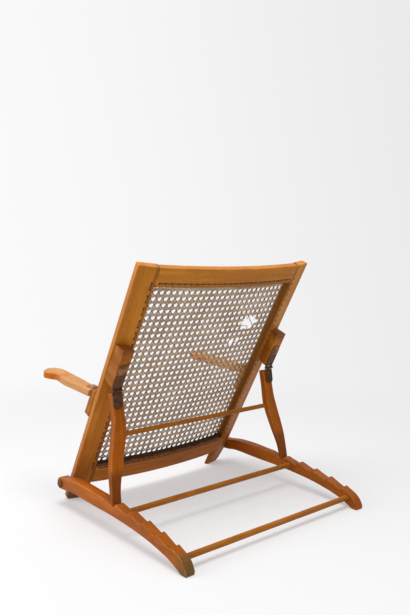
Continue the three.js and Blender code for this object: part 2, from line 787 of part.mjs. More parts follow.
function makeArm() {
  const edgeCurve = new THREE.SplineCurve(armEdgeShares.map(([along, across]) => new THREE.Vector2(
    armInner + across * armWidth, -along * armLength)));
  const edge = edgeCurve.getPoints(armCurveSteps).map((point) => [point.x, point.y]);
  let body = solid(levelPrism([[armInner + armRootShare * armWidth, armRoot], ...edge.reverse(),
    [armInner + armWidth, armRoot]], armTop - armThickness, armTop));
  body = body.subtract(blockFrontPlane);
  for (const place of armScrewPlaces) {
    body = body.subtract(onArm(armScrew(place, fitGap)));
  }
  return body;
}

addPair(armGroup, 'arm', makeArm(), paleWood);
addPair(armGroup, 'arm_hinge_moving_leaf',
  onArm(pierced(hingeLeaf(armHinge, false), armScrewPlaces, armScrew)), bronze);
armScrewPlaces.forEach((place, k) => {
  addPair(armGroup, 'arm_moving_leaf_screw_' + (k + 1), onArm(armScrew(place, 0)), agedSteel);
});

// The frame stands with the middle of its box over the origin
const extent = new THREE.Box3().setFromObject(standing, true);
standing.position.y = -(extent.min.y + extent.max.y) / 2;

export default chair;
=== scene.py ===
import json
import math

import bpy
import numpy as np
from bpy.props import FloatProperty, FloatVectorProperty, IntProperty, PointerProperty
from mathutils import Matrix, Vector


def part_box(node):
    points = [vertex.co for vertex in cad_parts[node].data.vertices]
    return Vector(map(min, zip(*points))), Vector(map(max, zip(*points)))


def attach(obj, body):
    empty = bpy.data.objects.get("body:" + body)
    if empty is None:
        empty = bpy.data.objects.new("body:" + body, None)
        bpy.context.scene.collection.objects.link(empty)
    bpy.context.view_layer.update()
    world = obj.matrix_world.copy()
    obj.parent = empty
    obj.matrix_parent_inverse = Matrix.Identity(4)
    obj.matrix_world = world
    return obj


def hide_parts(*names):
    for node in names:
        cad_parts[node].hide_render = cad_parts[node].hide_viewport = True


bl_info = {
    "name": "Caned deck chair frame",
    "version": (1, 0, 0),
    "blender": (4, 5, 0),
    "location": "3D View > Sidebar > Deck chair",
    "description": "Dresses the frame of a folding deck chair with wood, cane and hinges",
    "category": "Object",
}

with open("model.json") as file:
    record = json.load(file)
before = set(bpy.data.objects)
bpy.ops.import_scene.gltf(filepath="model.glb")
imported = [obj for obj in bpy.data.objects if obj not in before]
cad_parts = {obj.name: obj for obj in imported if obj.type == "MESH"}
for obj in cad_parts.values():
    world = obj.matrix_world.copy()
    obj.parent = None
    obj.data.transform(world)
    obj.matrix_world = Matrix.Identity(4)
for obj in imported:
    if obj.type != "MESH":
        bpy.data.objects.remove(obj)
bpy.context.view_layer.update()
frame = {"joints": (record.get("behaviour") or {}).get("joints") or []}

SIDES = {"left": 1.0, "right": -1.0}
# Where the right side's grain lies from the left side's
RIGHT_GRAIN = (0.37, 0.0, 0.0)


def joint_place(name):
    """The place of one of the frame's joints."""
    return np.array(next(j["pos_m"] for j in frame["joints"] if j["name"] == name))


PIVOT = joint_place("back_recline")
STRUT_PIN = joint_place("strut_swing")
ARM_PIN = joint_place("arm_fold_left")
RAIL_LOW, RAIL_HIGH = (np.array(corner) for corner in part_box("base_rail_left"))


# Sizes and colours

def length(name, default, description):
    return FloatProperty(name=name, default=default, description=description, unit="LENGTH",
                         subtype="DISTANCE", precision=4)


def angle(name, degrees, description):
    return FloatProperty(name=name, default=math.radians(degrees), description=description,
                         subtype="ANGLE")


def factor(name, default, description):
    return FloatProperty(name=name, default=default, description=description, min=0.0)


def colour(name, default, description):
    return FloatVectorProperty(name=name, default=default, description=description, size=3,
                               subtype="COLOR", min=0.0, max=1.0)


def place(name, default, description, subtype="TRANSLATION"):
    return FloatVectorProperty(name=name, default=default, description=description, size=3,
                               subtype=subtype, precision=4)


class ChairWoodSizes(bpy.types.PropertyGroup):
    """Sizes of the wooden pieces"""
    lean: angle("Lean", 26.8, "Angle of the back from upright")
    stile_turn: angle("Stile turn", 15, "Angle of a stile about its own length")
    stile_splay: angle("Stile splay", 1, "Angle at which the stiles spread upward")
    arm_rise: angle("Arm rise", 3.8, "Angle at which the arms rise to the front")
    stile_width: length("Stile width", 0.048, "Width of a stile's rear face")
    stile_thickness: length("Stile thickness", 0.017, "Thickness of a stile")
    stile_top: length("Stile top", 0.58, "Length of a stile above its pivot")
    stile_offset: length("Stile offset", 0.2205, "Distance of a stile's middle from the middle")
    stile_depth: length("Stile depth", 0.0034, "Distance of a stile's middle behind its pivot")
    foot_chamfer_width: length("Foot chamfer width", 0.007, "Width of the foot's outer chamfer")
    foot_chamfer_height: length("Foot chamfer height", 0.011, "Height of the foot's chamfer")
    foot_taper_depth: length("Foot taper depth", 0.005, "Thickness lost at the foot")
    foot_taper_height: length("Foot taper height", 0.05, "Height over which the foot thins")
    bow_radius: length("Bow radius", 1.75, "Radius of the back rails")
    bow: length("Bow", 0.0298, "Distance of the bowed rails' rear behind the pivot")
    back_rail_thickness: length("Back rail thickness", 0.015, "Thickness of the bowed rails")
    top_rail_height: length("Top rail height", 0.0465, "Height of the top rail")
    bottom_rail_height: length("Bottom rail height", 0.055, "Height of the bottom rail")
    bottom_rail_from: length("Bottom rail place", -0.001, "Lower edge of the bottom rail")
    edge_radius: length("Edge radius", 0.0018, "Radius of the wood's worn edges")
    joint_gap: length("Joint gap", 0.0003, "Gap at a joint between two pieces")
    rail_nose_radius: length("Rail nose radius", 0.0145, "Radius of a base rail's front end")
    notch_first: length("First notch", 0.2123, "Distance of the first notch from the pivot")
    notch_pitch: length("Notch pitch", 0.0463, "Distance between two notches")
    notch_wall_run: length("Notch wall run", 0.0047, "Slope of a notch's wall")
    rail_tail: length("Rail tail", 0.0515, "Length of a base rail behind its last notch")
    base_rod_radius: length("Base rod radius", 0.0065, "Radius of the rods of the base")
    strut_rod_radius: length("Strut rod radius", 0.0055, "Radius of the rod between the struts")
    strut_rod_drop: length("Strut rod drop", 0.095, "Distance of the rod below the hinge pins")
    strut_thickness: length("Strut thickness", 0.016, "Thickness of a strut at its top")
    foot_gap: length("Foot gap", 0.0004, "Gap between a strut's foot and its notch's wall")
    foot_lift: length("Foot lift", 0.00035, "Gap between a strut's foot and its notch's floor")
    rod_tenon: length("Rod tenon", 0.008, "Length of a rod's end inside the wood that holds it")
    strut_top_drop: length("Strut top drop", 0.005, "Distance of a strut's top below its pin")
    strut_top_inset: length("Strut top inset", 0.0035, "Inner edge of a strut's top from its stile")
    strut_top_width: length("Strut top width", 0.031, "Width of a strut at its top")
    block_inset: length("Block inset", 0.001, "Inner side of a hinge block from its stile")
    block_width: length("Block width", 0.03, "Width of a hinge block")
    block_rear: length("Block rear", 0.037, "Rear face of a hinge block behind the pivot")
    block_from: length("Block place", 0.299, "Lower end of a hinge block above the pivot")
    block_height: length("Block height", 0.094, "Height of a hinge block")
    block_top_drop: length("Block top drop", 0.004, "Slope of a hinge block's top")
    block_toe: length("Block toe", 0.013, "Flat length of a hinge block's lower end")
    block_toe_rise: length("Block toe rise", 0.006, "Slope of a hinge block's lower end")
    arm_inset: length("Arm inset", 0.0135, "Inner edge of an arm from its stile")
    arm_width: length("Arm width", 0.044, "Width of an arm")
    arm_thickness: length("Arm thickness", 0.0165, "Thickness of an arm")
    arm_length: length("Arm length", 0.21, "Length of an arm in front of its hinge")
    arm_root: length("Arm root", 0.02, "Length of an arm behind its hinge")
    arm_edge_radius: length("Arm edge radius", 0.00288, "Radius of the arms' worn edges")
    arm_block_inset: length("Arm block inset", 0.0045, "Inner side of an arm block from its stile")
    arm_block_width: length("Arm block width", 0.03, "Width of an arm block")
    arm_block_front: length("Arm block front", 0.028, "Front face of an arm block")
    arm_block_below: length("Arm block below", 0.065, "Length of an arm block below the pin")
    arm_pin_height: length("Arm pin height", 0.248, "Height of an arm's pin above the pivot")


class ChairMetalSizes(bpy.types.PropertyGroup):
    """Sizes of the hinges, screws and pivots"""
    leaf_width: length("Leaf width", 0.024, "Width of a strut hinge")
    leaf_thickness: length("Leaf thickness", 0.002, "Thickness of a strut hinge's leaf")
    upper_leaf: length("Upper leaf", 0.064, "Length of the leaf on the block")
    lower_leaf: length("Lower leaf", 0.039, "Length of the leaf on the strut")
    leaf_corner: length("Leaf corner", 0.009, "Radius of a leaf's corners")
    knuckle: length("Knuckle", 0.0036, "Radius of a strut hinge's knuckles")
    screw_head: length("Screw head", 0.0034, "Radius of a strut hinge's screw heads")
    arm_leaf_width: length("Arm leaf width", 0.022, "Width of an arm hinge")
    arm_leaf_thickness: length("Arm leaf thickness", 0.0015, "Thickness of an arm hinge's leaf")
    arm_leaf: length("Arm leaf", 0.028, "Length of an arm hinge's leaf")
    arm_leaf_corner: length("Arm leaf corner", 0.004, "Radius of an arm hinge's corners")
    arm_knuckle: length("Arm knuckle", 0.003, "Radius of an arm hinge's knuckles")
    arm_screw_head: length("Arm screw head", 0.003, "Radius of an arm hinge's screw heads")
    screw_pair: length("Screw pair", 0.013, "Distance between a strut hinge's two screws")
    upper_near: length("Upper near screws", 0.014, "Distance of the upper leaf's pair from its pin")
    upper_far: length("Upper far screw", 0.034, "Distance of the upper leaf's last screw")
    lower_near: length("Lower near screws", 0.012, "Distance of the lower leaf's pair from its pin")
    lower_far: length("Lower far screw", 0.028, "Distance of the lower leaf's last screw")
    pin_below_block: length("Pin below block", 0.0053, "Distance of the pin below the block")
    hinge_pin: length("Hinge pin", 0.0015, "Radius of a strut hinge's pin")
    arm_screw_pair: length("Arm screw pair", 0.012, "Distance between an arm hinge's two screws")
    arm_screw_place: length("Arm screw place", 0.018, "Distance of those screws from their pin")
    arm_fixed_leaf: length("Arm fixed leaf", 0.0178, "Length of the leaf on an arm block")
    arm_fixed_screw_place: length("Arm fixed screws", 0.0108, "Distance of its screws from the pin")
    arm_pin: length("Arm pin", 0.0012, "Radius of an arm hinge's pin")
    spacer: length("Spacer", 0.0085, "Radius of a pivot's spacer")
    pivot_head: length("Pivot head", 0.0075, "Radius of a pivot screw's head")
    pivot_radius: length("Pivot radius", 0.004, "Radius of a pivot screw")
    head_rim: length("Pivot head rim", 0.0018, "Height of a pivot screw's rim")
    head_dome: length("Pivot head dome", 0.0021, "Height of its dome above the rim")
    pivot_slot_width: length("Pivot slot width", 0.0016, "Width of a pivot screw's slot")
    pivot_slot_depth: length("Pivot slot depth", 0.0015, "Depth of a pivot screw's slot")
    washer: length("Washer", 0.009, "Radius of a pivot washer")
    washer_thickness: length("Washer thickness", 0.0015, "Thickness of a pivot washer")


class ChairCaneSizes(bpy.types.PropertyGroup):
    """Sizes of the woven cane"""
    pitch: length("Pitch", 0.015875, "Distance between two holes of the weave")
    rise: length("Rise", 0.01581, "Distance between two rows of the weave")
    middle_x: length("Middle across", -0.0041, "Place of an opening nearest to the middle")
    middle_v: length("Middle upward", 0.275, "Place of an opening at mid-height")
    strand_width: length("Strand width", 0.0025, "Width of the paired strands")
    rising_width: length("Rising strand width", 0.0017, "Width of the strands rising to the left")
    falling_width: length("Falling strand width", 0.0038, "Width of the strands rising rightward")
    strand_thickness: length("Strand thickness", 0.0009, "Thickness of a strand")
    pair: length("Pair", 0.0028, "Distance between the two strands of a pair")
    swell: length("Swell", 0.0005, "Height of the wave of paired strands")
    diagonal_swell: length("Diagonal swell", 0.0012, "Height of the wave of diagonal strands")
    sink: length("Sink", 0.0019, "Distance of the weave's middle in front of the rails")
    loop_rise: length("Loop rise", 0.0015, "Height of a loop behind the frame")
    loop_width: length("Loop width", 0.0028, "Width of a loop behind the frame")
    loop_wander: length("Loop wander", 0.0008, "How far a loop strays from its row")
    loop_sink: length("Loop sink", 0.0006, "Depth of a loop's ends in their holes")
    waver: length("Waver", 0.0003, "How far a strand wanders from its line")
    row_inset: length("Row inset", 0.006, "Distance of a rail's last hole from the stile")
    overrun: length("Overrun", 0.003, "Length of the strip past the last hole")
    hole_radius: length("Hole radius", 0.0027, "Radius of a hole in the frame")
    binder_width: length("Binder width", 0.0065, "Width of the strip over the holes")
    flat_share: factor("Flat share", 0.5, "How much the weave flattens between its rails")
    hole_line: length("Hole line", 0.0095, "Distance of the rows of holes from the rails' edges")
    stile_hole_line: length("Stile hole line", 0.0115, "The same on a stile, from its inner corner")
    # The cane up to this height above the bottom rail is darkened as painted shade
    hem: length("Hem", 0.008, "Height of the dark cane above the bottom rail")


class ChairColours(bpy.types.PropertyGroup):
    """Colours of wood, cane and metal"""
    honey: colour("Honey wood", (0.69, 0.265, 0.032), "Varnished wood of the back")
    honey_dark: colour("Dark honey wood", (0.42, 0.13, 0.011), "Grain of the back's wood")
    amber: colour("Amber wood", (0.52, 0.17, 0.016), "Wood of the back near the floor")
    amber_dark: colour("Dark amber wood", (0.29, 0.075, 0.005), "Grain of the back near the floor")
    orange: colour("Orange wood", (0.53, 0.135, 0.006), "Varnished wood of struts and rails")
    orange_dark: colour("Dark orange wood", (0.25, 0.05, 0.002), "Grain of that wood")
    dirt: colour("Dirt", (0.06, 0.016, 0.004), "Dark strips along the opening of the back")
    # Painted shade over dirty wood along the opening of the back
    umber: colour("Umber wood", (0.2, 0.05, 0.008), "Stained wood of the struts' feet")
    rod: colour("Rod wood", (0.45, 0.15, 0.016), "Wood of the rods")
    rod_dark: colour("Dark rod wood", (0.24, 0.07, 0.006), "Grain of the rods")
    tan: colour("Tan wood", (0.69, 0.345, 0.13), "Worn wood of the arms")
    tan_dark: colour("Dark tan wood", (0.5, 0.21, 0.06), "Grain of the worn wood")
    block: colour("Block wood", (0.50, 0.18, 0.018), "Wood of the hinge and arm blocks")
    block_dark: colour("Dark block wood", (0.22, 0.05, 0.004), "Grain of the blocks")
    patina: colour("Patina", (0.13, 0.078, 0.024), "Dark worn wood near the floor")
    varnish: colour("Varnish", (1.0, 0.5, 0.15), "Tint of the varnish's shine")
    grime: colour("Grime", (0.035, 0.016, 0.007), "Dirt in corners and at joints")
    cane: colour("Cane", (0.97, 0.70, 0.44), "Dull side of the cane")
    cane_stained: colour("Stained cane", (0.70, 0.45, 0.25), "Cane with a brown stain")
    # Also painted shade on the strands' rims and on the cane above the bottom rail
    cane_dark: colour("Dark cane", (0.07, 0.036, 0.018), "Rims and shadows of the cane")
    bronze: colour("Bronze", (0.121, 0.053, 0.023), "Dark metal of the hinges")
    bronze_worn: colour("Worn bronze", (0.299, 0.158, 0.081), "Rubbed metal of the hinges")
    lacquer: colour("Lacquer", (0.36, 0.14, 0.035), "Brown lacquer on the hinges")
    lacquer_dark: colour("Dark lacquer", (0.136, 0.038, 0.007), "Darker lacquer on the hinges")
    brown_metal: colour("Brown metal", (0.14, 0.06, 0.022), "Browned metal of the pivots")
    leaf_pale: colour("Pale lacquer", (0.5, 0.31, 0.19), "Rubbed lacquer of the arm hinges")
    # Dirt at joints, in pores and in patches, and also painted shade: on faces marked dark, along
    # the hinge lacquer's edge and on the discs over the cane's holes
    brown_worn: colour("Worn brown metal", (0.38, 0.19, 0.08), "Rubbed metal of the pivots")
    steel: colour("Steel", (0.12, 0.075, 0.048), "Tarnished screws")


class ChairStage(bpy.types.PropertyGroup):
    """Floor, lamps and camera"""
    floor: colour("Floor", (0.84, 0.84, 0.845), "Colour of the floor")
    floor_seen: colour("Seen floor", (0.56, 0.56, 0.565), "Floor colour that shows shadows")
    floor_white: colour("Floor white", (0.325, 0.325, 0.327), "White that the camera sees besides")
    backdrop: colour("Backdrop", (0.96, 0.96, 0.962), "Colour behind the chair")
    dim_side: colour("Dim side", (0.80, 0.80, 0.81), "Colour of the backdrop's dimmer side")
    behind: colour("Behind", (0.3, 0.29, 0.28), "Colour of the room behind the camera")
    floor_reach: length("Floor reach", 3.2, "Half the length of the floor")
    floor_clear_from: length("Floor clear from", 0.55, "Distance at which the floor starts to fade")
    floor_clear_to: length("Floor clear to", 1.6, "Distance at which the floor has faded")
    world_strength: factor("World strength", 0.64, "Light from all round")
    key_power: factor("Key power", 31.0, "Power of the lamp overhead")
    key_size: length("Key size", 1.2, "Width of the lamp overhead")
    key_place: place("Key place", (0.3, 0.2, 2.3), "Where the lamp overhead hangs")
    side_power: factor("Side power", 30.0, "Power of the lamp on the left")
    side_size: length("Side size", 1.8, "Width of the lamp on the left")
    side_place: place("Side place", (2.3, -1.3, 1.3), "Where the lamp on the left stands")
    lit_place: place("Lit place", (0.0, 0.0, 0.25), "Where both lamps point")
    camera_place: place("Camera place", (1.08607, 1.22951, 0.62897), "Where the camera stands")
    camera_look: place("Camera look", (-0.66428, -0.74059, -0.10131), "Where the camera looks",
                       "DIRECTION")
    camera_roll: angle("Camera roll", 1.45, "Turn of the camera about its look")
    camera_focus: factor("Focal length", 707.43, "Focal length in pixels of the photograph")
    image_height: IntProperty(name="Image height", default=615, description="Pixels upward")


GROUPS = {"chair_wood": ChairWoodSizes, "chair_metal": ChairMetalSizes,
          "chair_cane": ChairCaneSizes, "chair_colours": ChairColours, "chair_stage": ChairStage}


# Curves and surfaces

def smoothstep(x):
    """Three x squared less two x cubed, held between nought and one."""
    t = np.clip(x, 0.0, 1.0)
    return t * t * (3.0 - 2.0 * t)


def unit(v):
    """Each vector over its own length."""
    return v / np.linalg.norm(v, axis=-1, keepdims=True)


def smooth_curve(points, steps):
    """A cubic between each two points, whose end slopes are half the chord past its ends."""
    points = np.asarray(points, float)
    p = np.vstack([2 * points[0] - points[1], points, 2 * points[-1] - points[-2]])
    t = np.linspace(0, 1, steps, endpoint=False)[None, :, None]
    a, b, c, d = (p[k:len(p) - 3 + k, None, :] for k in range(4))
    q = 0.5 * (2 * b + (c - a) * t + (2 * a - 5 * b + 4 * c - d) * t ** 2
               + (3 * b - a - 3 * c + d) * t ** 3)
    return np.vstack([q.reshape(-1, points.shape[1]), points[-1]])


def hermite(table, places):
    """The same cubic over a table of stations and values, read at the given stations."""
    x, y = np.asarray(table, float).T
    padded_x = np.concatenate([x[:1], x, x[-1:]])
    padded_y = np.concatenate([y[:1], y, y[-1:]])
    slope = (padded_y[2:] - padded_y[:-2]) / (padded_x[2:] - padded_x[:-2])
    k = np.clip(np.searchsorted(x, places, side="right") - 1, 0, len(x) - 2)
    run = x[k + 1] - x[k]
    t = (places - x[k]) / run
    rise, m0, m1 = y[k + 1] - y[k], slope[k] * run, slope[k + 1] * run
    return y[k] + t * (m0 + t * (3 * rise - 2 * m0 - m1 + t * (m0 + m1 - 2 * rise)))


class Shape:
    """Corners, faces by number of corners, and per corner a grain place and an edge value."""

    def __init__(self, points, faces, grain, edge):
        self.points, self.faces, self.grain, self.edge = points, faces, grain, edge

    def on_side(self, side):
        """The shape itself, or its mirror image in the middle plane with other grain."""
        if SIDES[side] > 0:
            return self
        return Shape(self.points * (-1, 1, 1), [f[:, ::-1] for f in self.faces],
                     self.grain + RIGHT_GRAIN, self.edge)

    def outward(self):
        """The faces turned so that the volume, a sum of corner triple products, is positive."""
        volume = 0.0
        for f in self.faces:
            for k in range(1, f.shape[1] - 1):
                a, b, c = (self.points[f[:, n]] for n in (0, k, k + 1))
                volume += np.einsum("ij,ij->", a, np.cross(b, c))
        if volume < 0:
            self.faces = [f[:, ::-1] for f in self.faces]
        return self


def joined(shapes):
    """One shape of several."""
    start, faces = 0, []
    for shape in shapes:
        faces += [f + start for f in shape.faces]
        start += len(shape.points)
    return Shape(np.vstack([s.points for s in shapes]), faces,
                 np.vstack([s.grain for s in shapes]), np.concatenate([s.edge for s in shapes]))


def ring_faces(rings, count):
    """The four corners of each face between neighbouring rings of a closed tube."""
    i, j = np.meshgrid(np.arange(rings - 1), np.arange(count), indexing="ij")
    k = (j + 1) % count
    quads = np.stack([i * count + j, i * count + k, (i + 1) * count + k, (i + 1) * count + j], -1)
    return quads.reshape(-1, 4)


def tube_shape(rings, grain, edge=None):
    """A closed tube through an array of rings, with a face over each end."""
    edge = np.zeros(rings.shape[:2]) if edge is None else edge
    count, sides = rings.shape[:2]
    ends = [np.arange(sides)[None, ::-1], np.arange((count - 1) * sides, count * sides)[None, :]]
    return Shape(rings.reshape(-1, 3), [ring_faces(count, sides), *ends],
                 grain.reshape(-1, 3), edge.reshape(-1)).outward()


# Steps of a rounded edge, and the flat run held beside it as a share of its radius
ROUND_STEPS = 4
QUARTER = np.linspace(0, math.pi / 2, ROUND_STEPS + 1)
HOLD = 0.7
# Least share of its radius that a corner keeps, and least divisor at a sharp turn
LEAST_CORNER = 0.3
LEAST_TURN = 0.5
# Rings of a straight and of a bowed board, and the distance of points on straight outlines
BOARD_RINGS = 90
ARC_RINGS = 80
OUTLINE_STEP = 0.004
# Steps along a rod, its waves per metre and its rounded end as a share of its radius
ROD_STEPS = 41
ROD_WAVES = (37.0, 11.0)
ROD_PHASE = 900.0
ROD_END_SHARE = 0.15
ACROSS = (1.0, 0.0, 0.0)


def section_signs():
    """A rounded rectangle's corners: signs of its two half widths, cosine and sine on each arc
    with a straight run held before and after it, and an edge value that is one amid the arc."""
    signs, arcs, edge = [], [], []
    for turn, (sa, sb) in enumerate(((1, 1), (-1, 1), (-1, -1), (1, -1))):
        theta = QUARTER + turn * math.pi / 2
        arc = np.stack([np.cos(theta), np.sin(theta)], 1)
        before = arc[0] - HOLD * np.array([-arc[0, 1], arc[0, 0]])
        after = arc[-1] + HOLD * np.array([-arc[-1, 1], arc[-1, 0]])
        arcs.append(np.vstack([before, arc, after]))
        signs.append(np.tile([sa, sb], (len(theta) + 2, 1)))
        edge.append(np.concatenate([[0], np.sin(2 * QUARTER), [0]]))
    return np.vstack(signs), np.vstack(arcs), np.concatenate(edge)


SIGNS, ARCS, ARC_EDGE = section_signs()
# The two corners that span a section's face at the high and the low end of its first direction
FACES = {"high": (-1, 0), "low": (2 * ROUND_STEPS + 5, 2 * ROUND_STEPS + 6)}


def board(section, start, stop, radius, count, dirt=False, dark=None):
    """A rounded rectangle carried along a path. The section function gives, at each station, the
    centre, two directions and the rectangle's low and high bounds along them. Toward both ends
    the rectangle shrinks by the radius less its sine as the station runs by its cosine. Dirt marks
    both ends, and dark names a face, high or low in the first direction, with the darkness of its
    painted shade over dirty wood."""
    shrink = radius * np.concatenate([[1 + HOLD], 1 - np.sin(QUARTER)])
    run = radius * np.concatenate([[0], 1 - np.cos(QUARTER)])
    inner = np.linspace(start + 2 * radius, stop - 2 * radius, count)
    t = np.concatenate([start + run, inner, (stop - run)[::-1]])
    less = np.concatenate([shrink, np.zeros(count), shrink[::-1]])
    end_edge = np.concatenate([[0], np.sin(2 * QUARTER)])
    worn = np.concatenate([end_edge, np.zeros(count), end_edge[::-1]])
    centre, across, deep, low_a, high_a, low_b, high_b = section(t)
    corner = np.maximum(radius - less / 2, LEAST_CORNER * radius)[:, None]
    bounds = []
    for k, (low, high) in enumerate(((low_a, high_a), (low_b, high_b))):
        high, low = (high - less)[:, None] - corner, (low + less)[:, None] + corner
        bounds.append(np.where(SIGNS[None, :, k] > 0, high, low) + corner * ARCS[None, :, k])
    a, b = bounds
    rings = centre[:, None] + across[:, None] * a[..., None] + deep[:, None] * b[..., None]
    grain = np.stack(np.broadcast_arrays(t[:, None], a, b), -1)
    edge = np.maximum(ARC_EDGE[None, :], worn[:, None])
    if dark:
        edge[:, FACES[dark[0]]] = -dark[1]
    if dirt:
        edge[:3] = edge[-3:] = -1.0
    return tube_shape(rings, grain, edge)


def inward(outline):
    """For each corner of an outline that runs counter-clockwise, the step inward that moves both
    of its edges by one: the sum of their normals over one plus the cosine of the turn."""
    edge = unit(np.roll(outline, -1, 0) - outline)
    after = edge[:, ::-1] * (-1, 1)
    before = np.roll(after, 1, 0)
    both = before + after
    return both / np.maximum((both * before).sum(1, keepdims=True), LEAST_TURN)


def plate(outline, low, high, radius, place, bend=None):
    """An outline carried from one face to the other. Near each face it steps inward by the
    radius less its sine as the height runs by its cosine. Place puts the two outline values and
    the height into the frame, and bend may first move them."""
    outline = np.asarray(outline, float)
    area = np.cross(outline, np.roll(outline, -1, 0)).sum()
    if area < 0:
        outline = outline[::-1]
    step = radius * np.concatenate([[1 + HOLD], 1 - np.sin(QUARTER), [0]])
    run = radius * np.concatenate([[0], 1 - np.cos(QUARTER), [1 + HOLD]])
    steps = np.concatenate([step, step[::-1]])
    height = np.concatenate([low + run, (high - run)[::-1]])
    half = np.concatenate([[0], np.sin(2 * QUARTER), [0]])
    flat = outline[None] + steps[:, None, None] * inward(outline)[None]
    grid = np.concatenate([flat, np.broadcast_to(height[:, None, None], (*flat.shape[:2], 1))], 2)
    if bend:
        grid = bend(grid)
    edge = np.broadcast_to(np.concatenate([half, half[::-1]])[:, None], grid.shape[:2])
    return tube_shape(place(grid), grid.copy(), edge)


def straight(a, b, step=OUTLINE_STEP):
    """Points from one place up to another, which is left out, about that step apart."""
    a, b = np.asarray(a, float), np.asarray(b, float)
    count = max(1, int(round(np.linalg.norm(b - a) / step)))
    return a + (b - a) * np.linspace(0, 1, count, endpoint=False)[:, None]


def even(points, step=OUTLINE_STEP):
    """An outline's straight edges, each cut into equal runs of about that step."""
    return np.vstack([straight(a, b, step) for a, b in zip(points, [*points[1:], points[0]])])


def lathe(profile, axis_point, axis, sides):
    """Each profile point, a radius and a height, turned round an axis: the point plus the height
    along the axis plus the radius times the cosine and sine of the turn."""
    profile = np.asarray(profile, float)
    axis = unit(np.asarray(axis, float))
    side = unit(np.cross(axis, (0.0, 0.0, 1.0) if abs(axis[2]) < 0.9 else (0.0, 1.0, 0.0)))
    other = np.cross(axis, side)
    theta = np.linspace(0, 2 * math.pi, sides, endpoint=False)
    wheel = np.cos(theta)[:, None] * side + np.sin(theta)[:, None] * other
    rings = (np.asarray(axis_point) + profile[:, None, 1:2] * axis
             + profile[:, None, 0:1] * wheel[None])
    grain = np.stack(np.broadcast_arrays(profile[:, None, 1],
                                         profile[:, None, 0] * np.cos(theta)[None],
                                         profile[:, None, 0] * np.sin(theta)[None]), -1)
    return tube_shape(rings, grain)


def rod_profile(radius, start, stop, wear):
    """A rod's radius over its length: less by a share that wavers with the product of two sines,
    and less again in two steps at each end."""
    z = np.linspace(start, stop, ROD_STEPS)
    waves = np.sin(z * ROD_WAVES[0] + radius * ROD_PHASE) * np.sin(z * ROD_WAVES[1])
    r = radius * (1 - wear * (0.5 + 0.5 * waves))
    ends = radius * ROD_END_SHARE
    body = np.stack([r, z], 1)
    return np.vstack([[r[0] - 2 * ends, start], [r[0] - ends, start], body[1:-1],
                      [r[-1] - ends, stop], [r[-1] - 2 * ends, stop]])


def in_back(x, w, v):
    """Across, depth and height along the leaning back: the depth turned down and the height
    turned back by the lean about the pivot."""
    lean = bpy.context.scene.chair_wood.lean
    x, w, v = np.broadcast_arrays(x, w, v)
    return np.stack([x, PIVOT[1] + w * math.cos(lean) + v * math.sin(lean),
                     PIVOT[2] - w * math.sin(lean) + v * math.cos(lean)], -1)


def back_vector(x, w, v):
    """A direction given across, in depth and along the back."""
    return in_back(x, w, v) - PIVOT * (0, 1, 1)


def oblique(vector, along, normal):
    """The vector slid along a direction into the plane that has that normal."""
    return vector - along * (vector @ normal / (along @ normal))


def turned(points, tilt, pin):
    """Local across, depth and height turned by a tilt about a hinge pin."""
    x, y, z = np.moveaxis(np.asarray(points, float), -1, 0)
    c, s = math.cos(tilt), math.sin(tilt)
    return np.stack([x, pin[1] + y * c - z * s, pin[2] + y * s + z * c], -1)


class Stile:
    """Where a stile lies in the leaning back."""

    def __init__(self, wood):
        self.wood = wood
        turn, splay = wood.stile_turn, wood.stile_splay
        self.across = np.array([math.cos(turn) * math.cos(splay), -math.sin(turn),
                                -math.cos(turn) * math.sin(splay)])
        self.deep = np.array([math.sin(turn) * math.cos(splay), math.cos(turn),
                              -math.sin(turn) * math.sin(splay)])
        self.along = np.array([math.sin(splay), 0.0, math.cos(splay)])
        self.start = np.array([wood.stile_offset, wood.stile_depth, 0.0])
        self.half_width = wood.stile_width / 2
        self.half_depth = wood.stile_thickness / 2

    def inner_front(self, v):
        """Across and depth of the inner front corner at a height."""
        corner = self.start - self.across * self.half_width - self.deep * self.half_depth
        return corner[0] + v * math.tan(self.wood.stile_splay), corner[1]

    def face_depth(self, x, v, deep):
        """Depth of the stile's plane at that distance behind its middle."""
        point = self.start + self.deep * deep
        rest = self.deep[0] * (x - point[0]) + self.deep[2] * (v - point[2])
        return point[1] - rest / self.deep[1]


def bowed_depth(wood, radius, x):
    """Depth of an arc of that radius about the back rails' common centre."""
    return wood.bow - wood.bow_radius + np.sqrt(radius * radius - x * x)


# Meshes and materials

# Angles in degrees above which an edge is sharp: wood and cane, plates and turned metal, and
# screw heads
SMOOTH, PLATE_SMOOTH, HEAD_SMOOTH = 50, 35, 30


def make_piece(name, shape, material, body, stands_for=(), smooth_angle=SMOOTH):
    """A mesh object of a shape, with its grain and edge values as attributes."""
    mesh = bpy.data.meshes.new(name)
    counts = np.concatenate([np.full(len(f), f.shape[1]) for f in shape.faces])
    corners = np.concatenate([f.reshape(-1) for f in shape.faces])
    mesh.vertices.add(len(shape.points))
    mesh.vertices.foreach_set("co", shape.points.astype(np.float32).ravel())
    mesh.loops.add(len(corners))
    mesh.loops.foreach_set("vertex_index", corners.astype(np.int32))
    mesh.polygons.add(len(counts))
    starts = np.concatenate([[0], counts.cumsum()[:-1]])
    mesh.polygons.foreach_set("loop_start", starts.astype(np.int32))
    mesh.polygons.foreach_set("loop_total", counts.astype(np.int32))
    mesh.update(calc_edges=True)
    mesh.validate()
    grain = mesh.attributes.new("grain", "FLOAT_VECTOR", "POINT")
    grain.data.foreach_set("vector", shape.grain.astype(np.float32).ravel())
    edge = mesh.attributes.new("edge", "FLOAT", "POINT")
    edge.data.foreach_set("value", shape.edge.astype(np.float32))
    mesh.polygons.foreach_set("use_smooth", np.ones(len(counts), bool))
    mesh.set_sharp_from_angle(angle=math.radians(smooth_angle))
    piece = bpy.data.objects.new(name, mesh)
    bpy.context.scene.collection.objects.link(piece)
    mesh.materials.append(material)
    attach(piece, body)
    if stands_for:
        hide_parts(*stands_for)


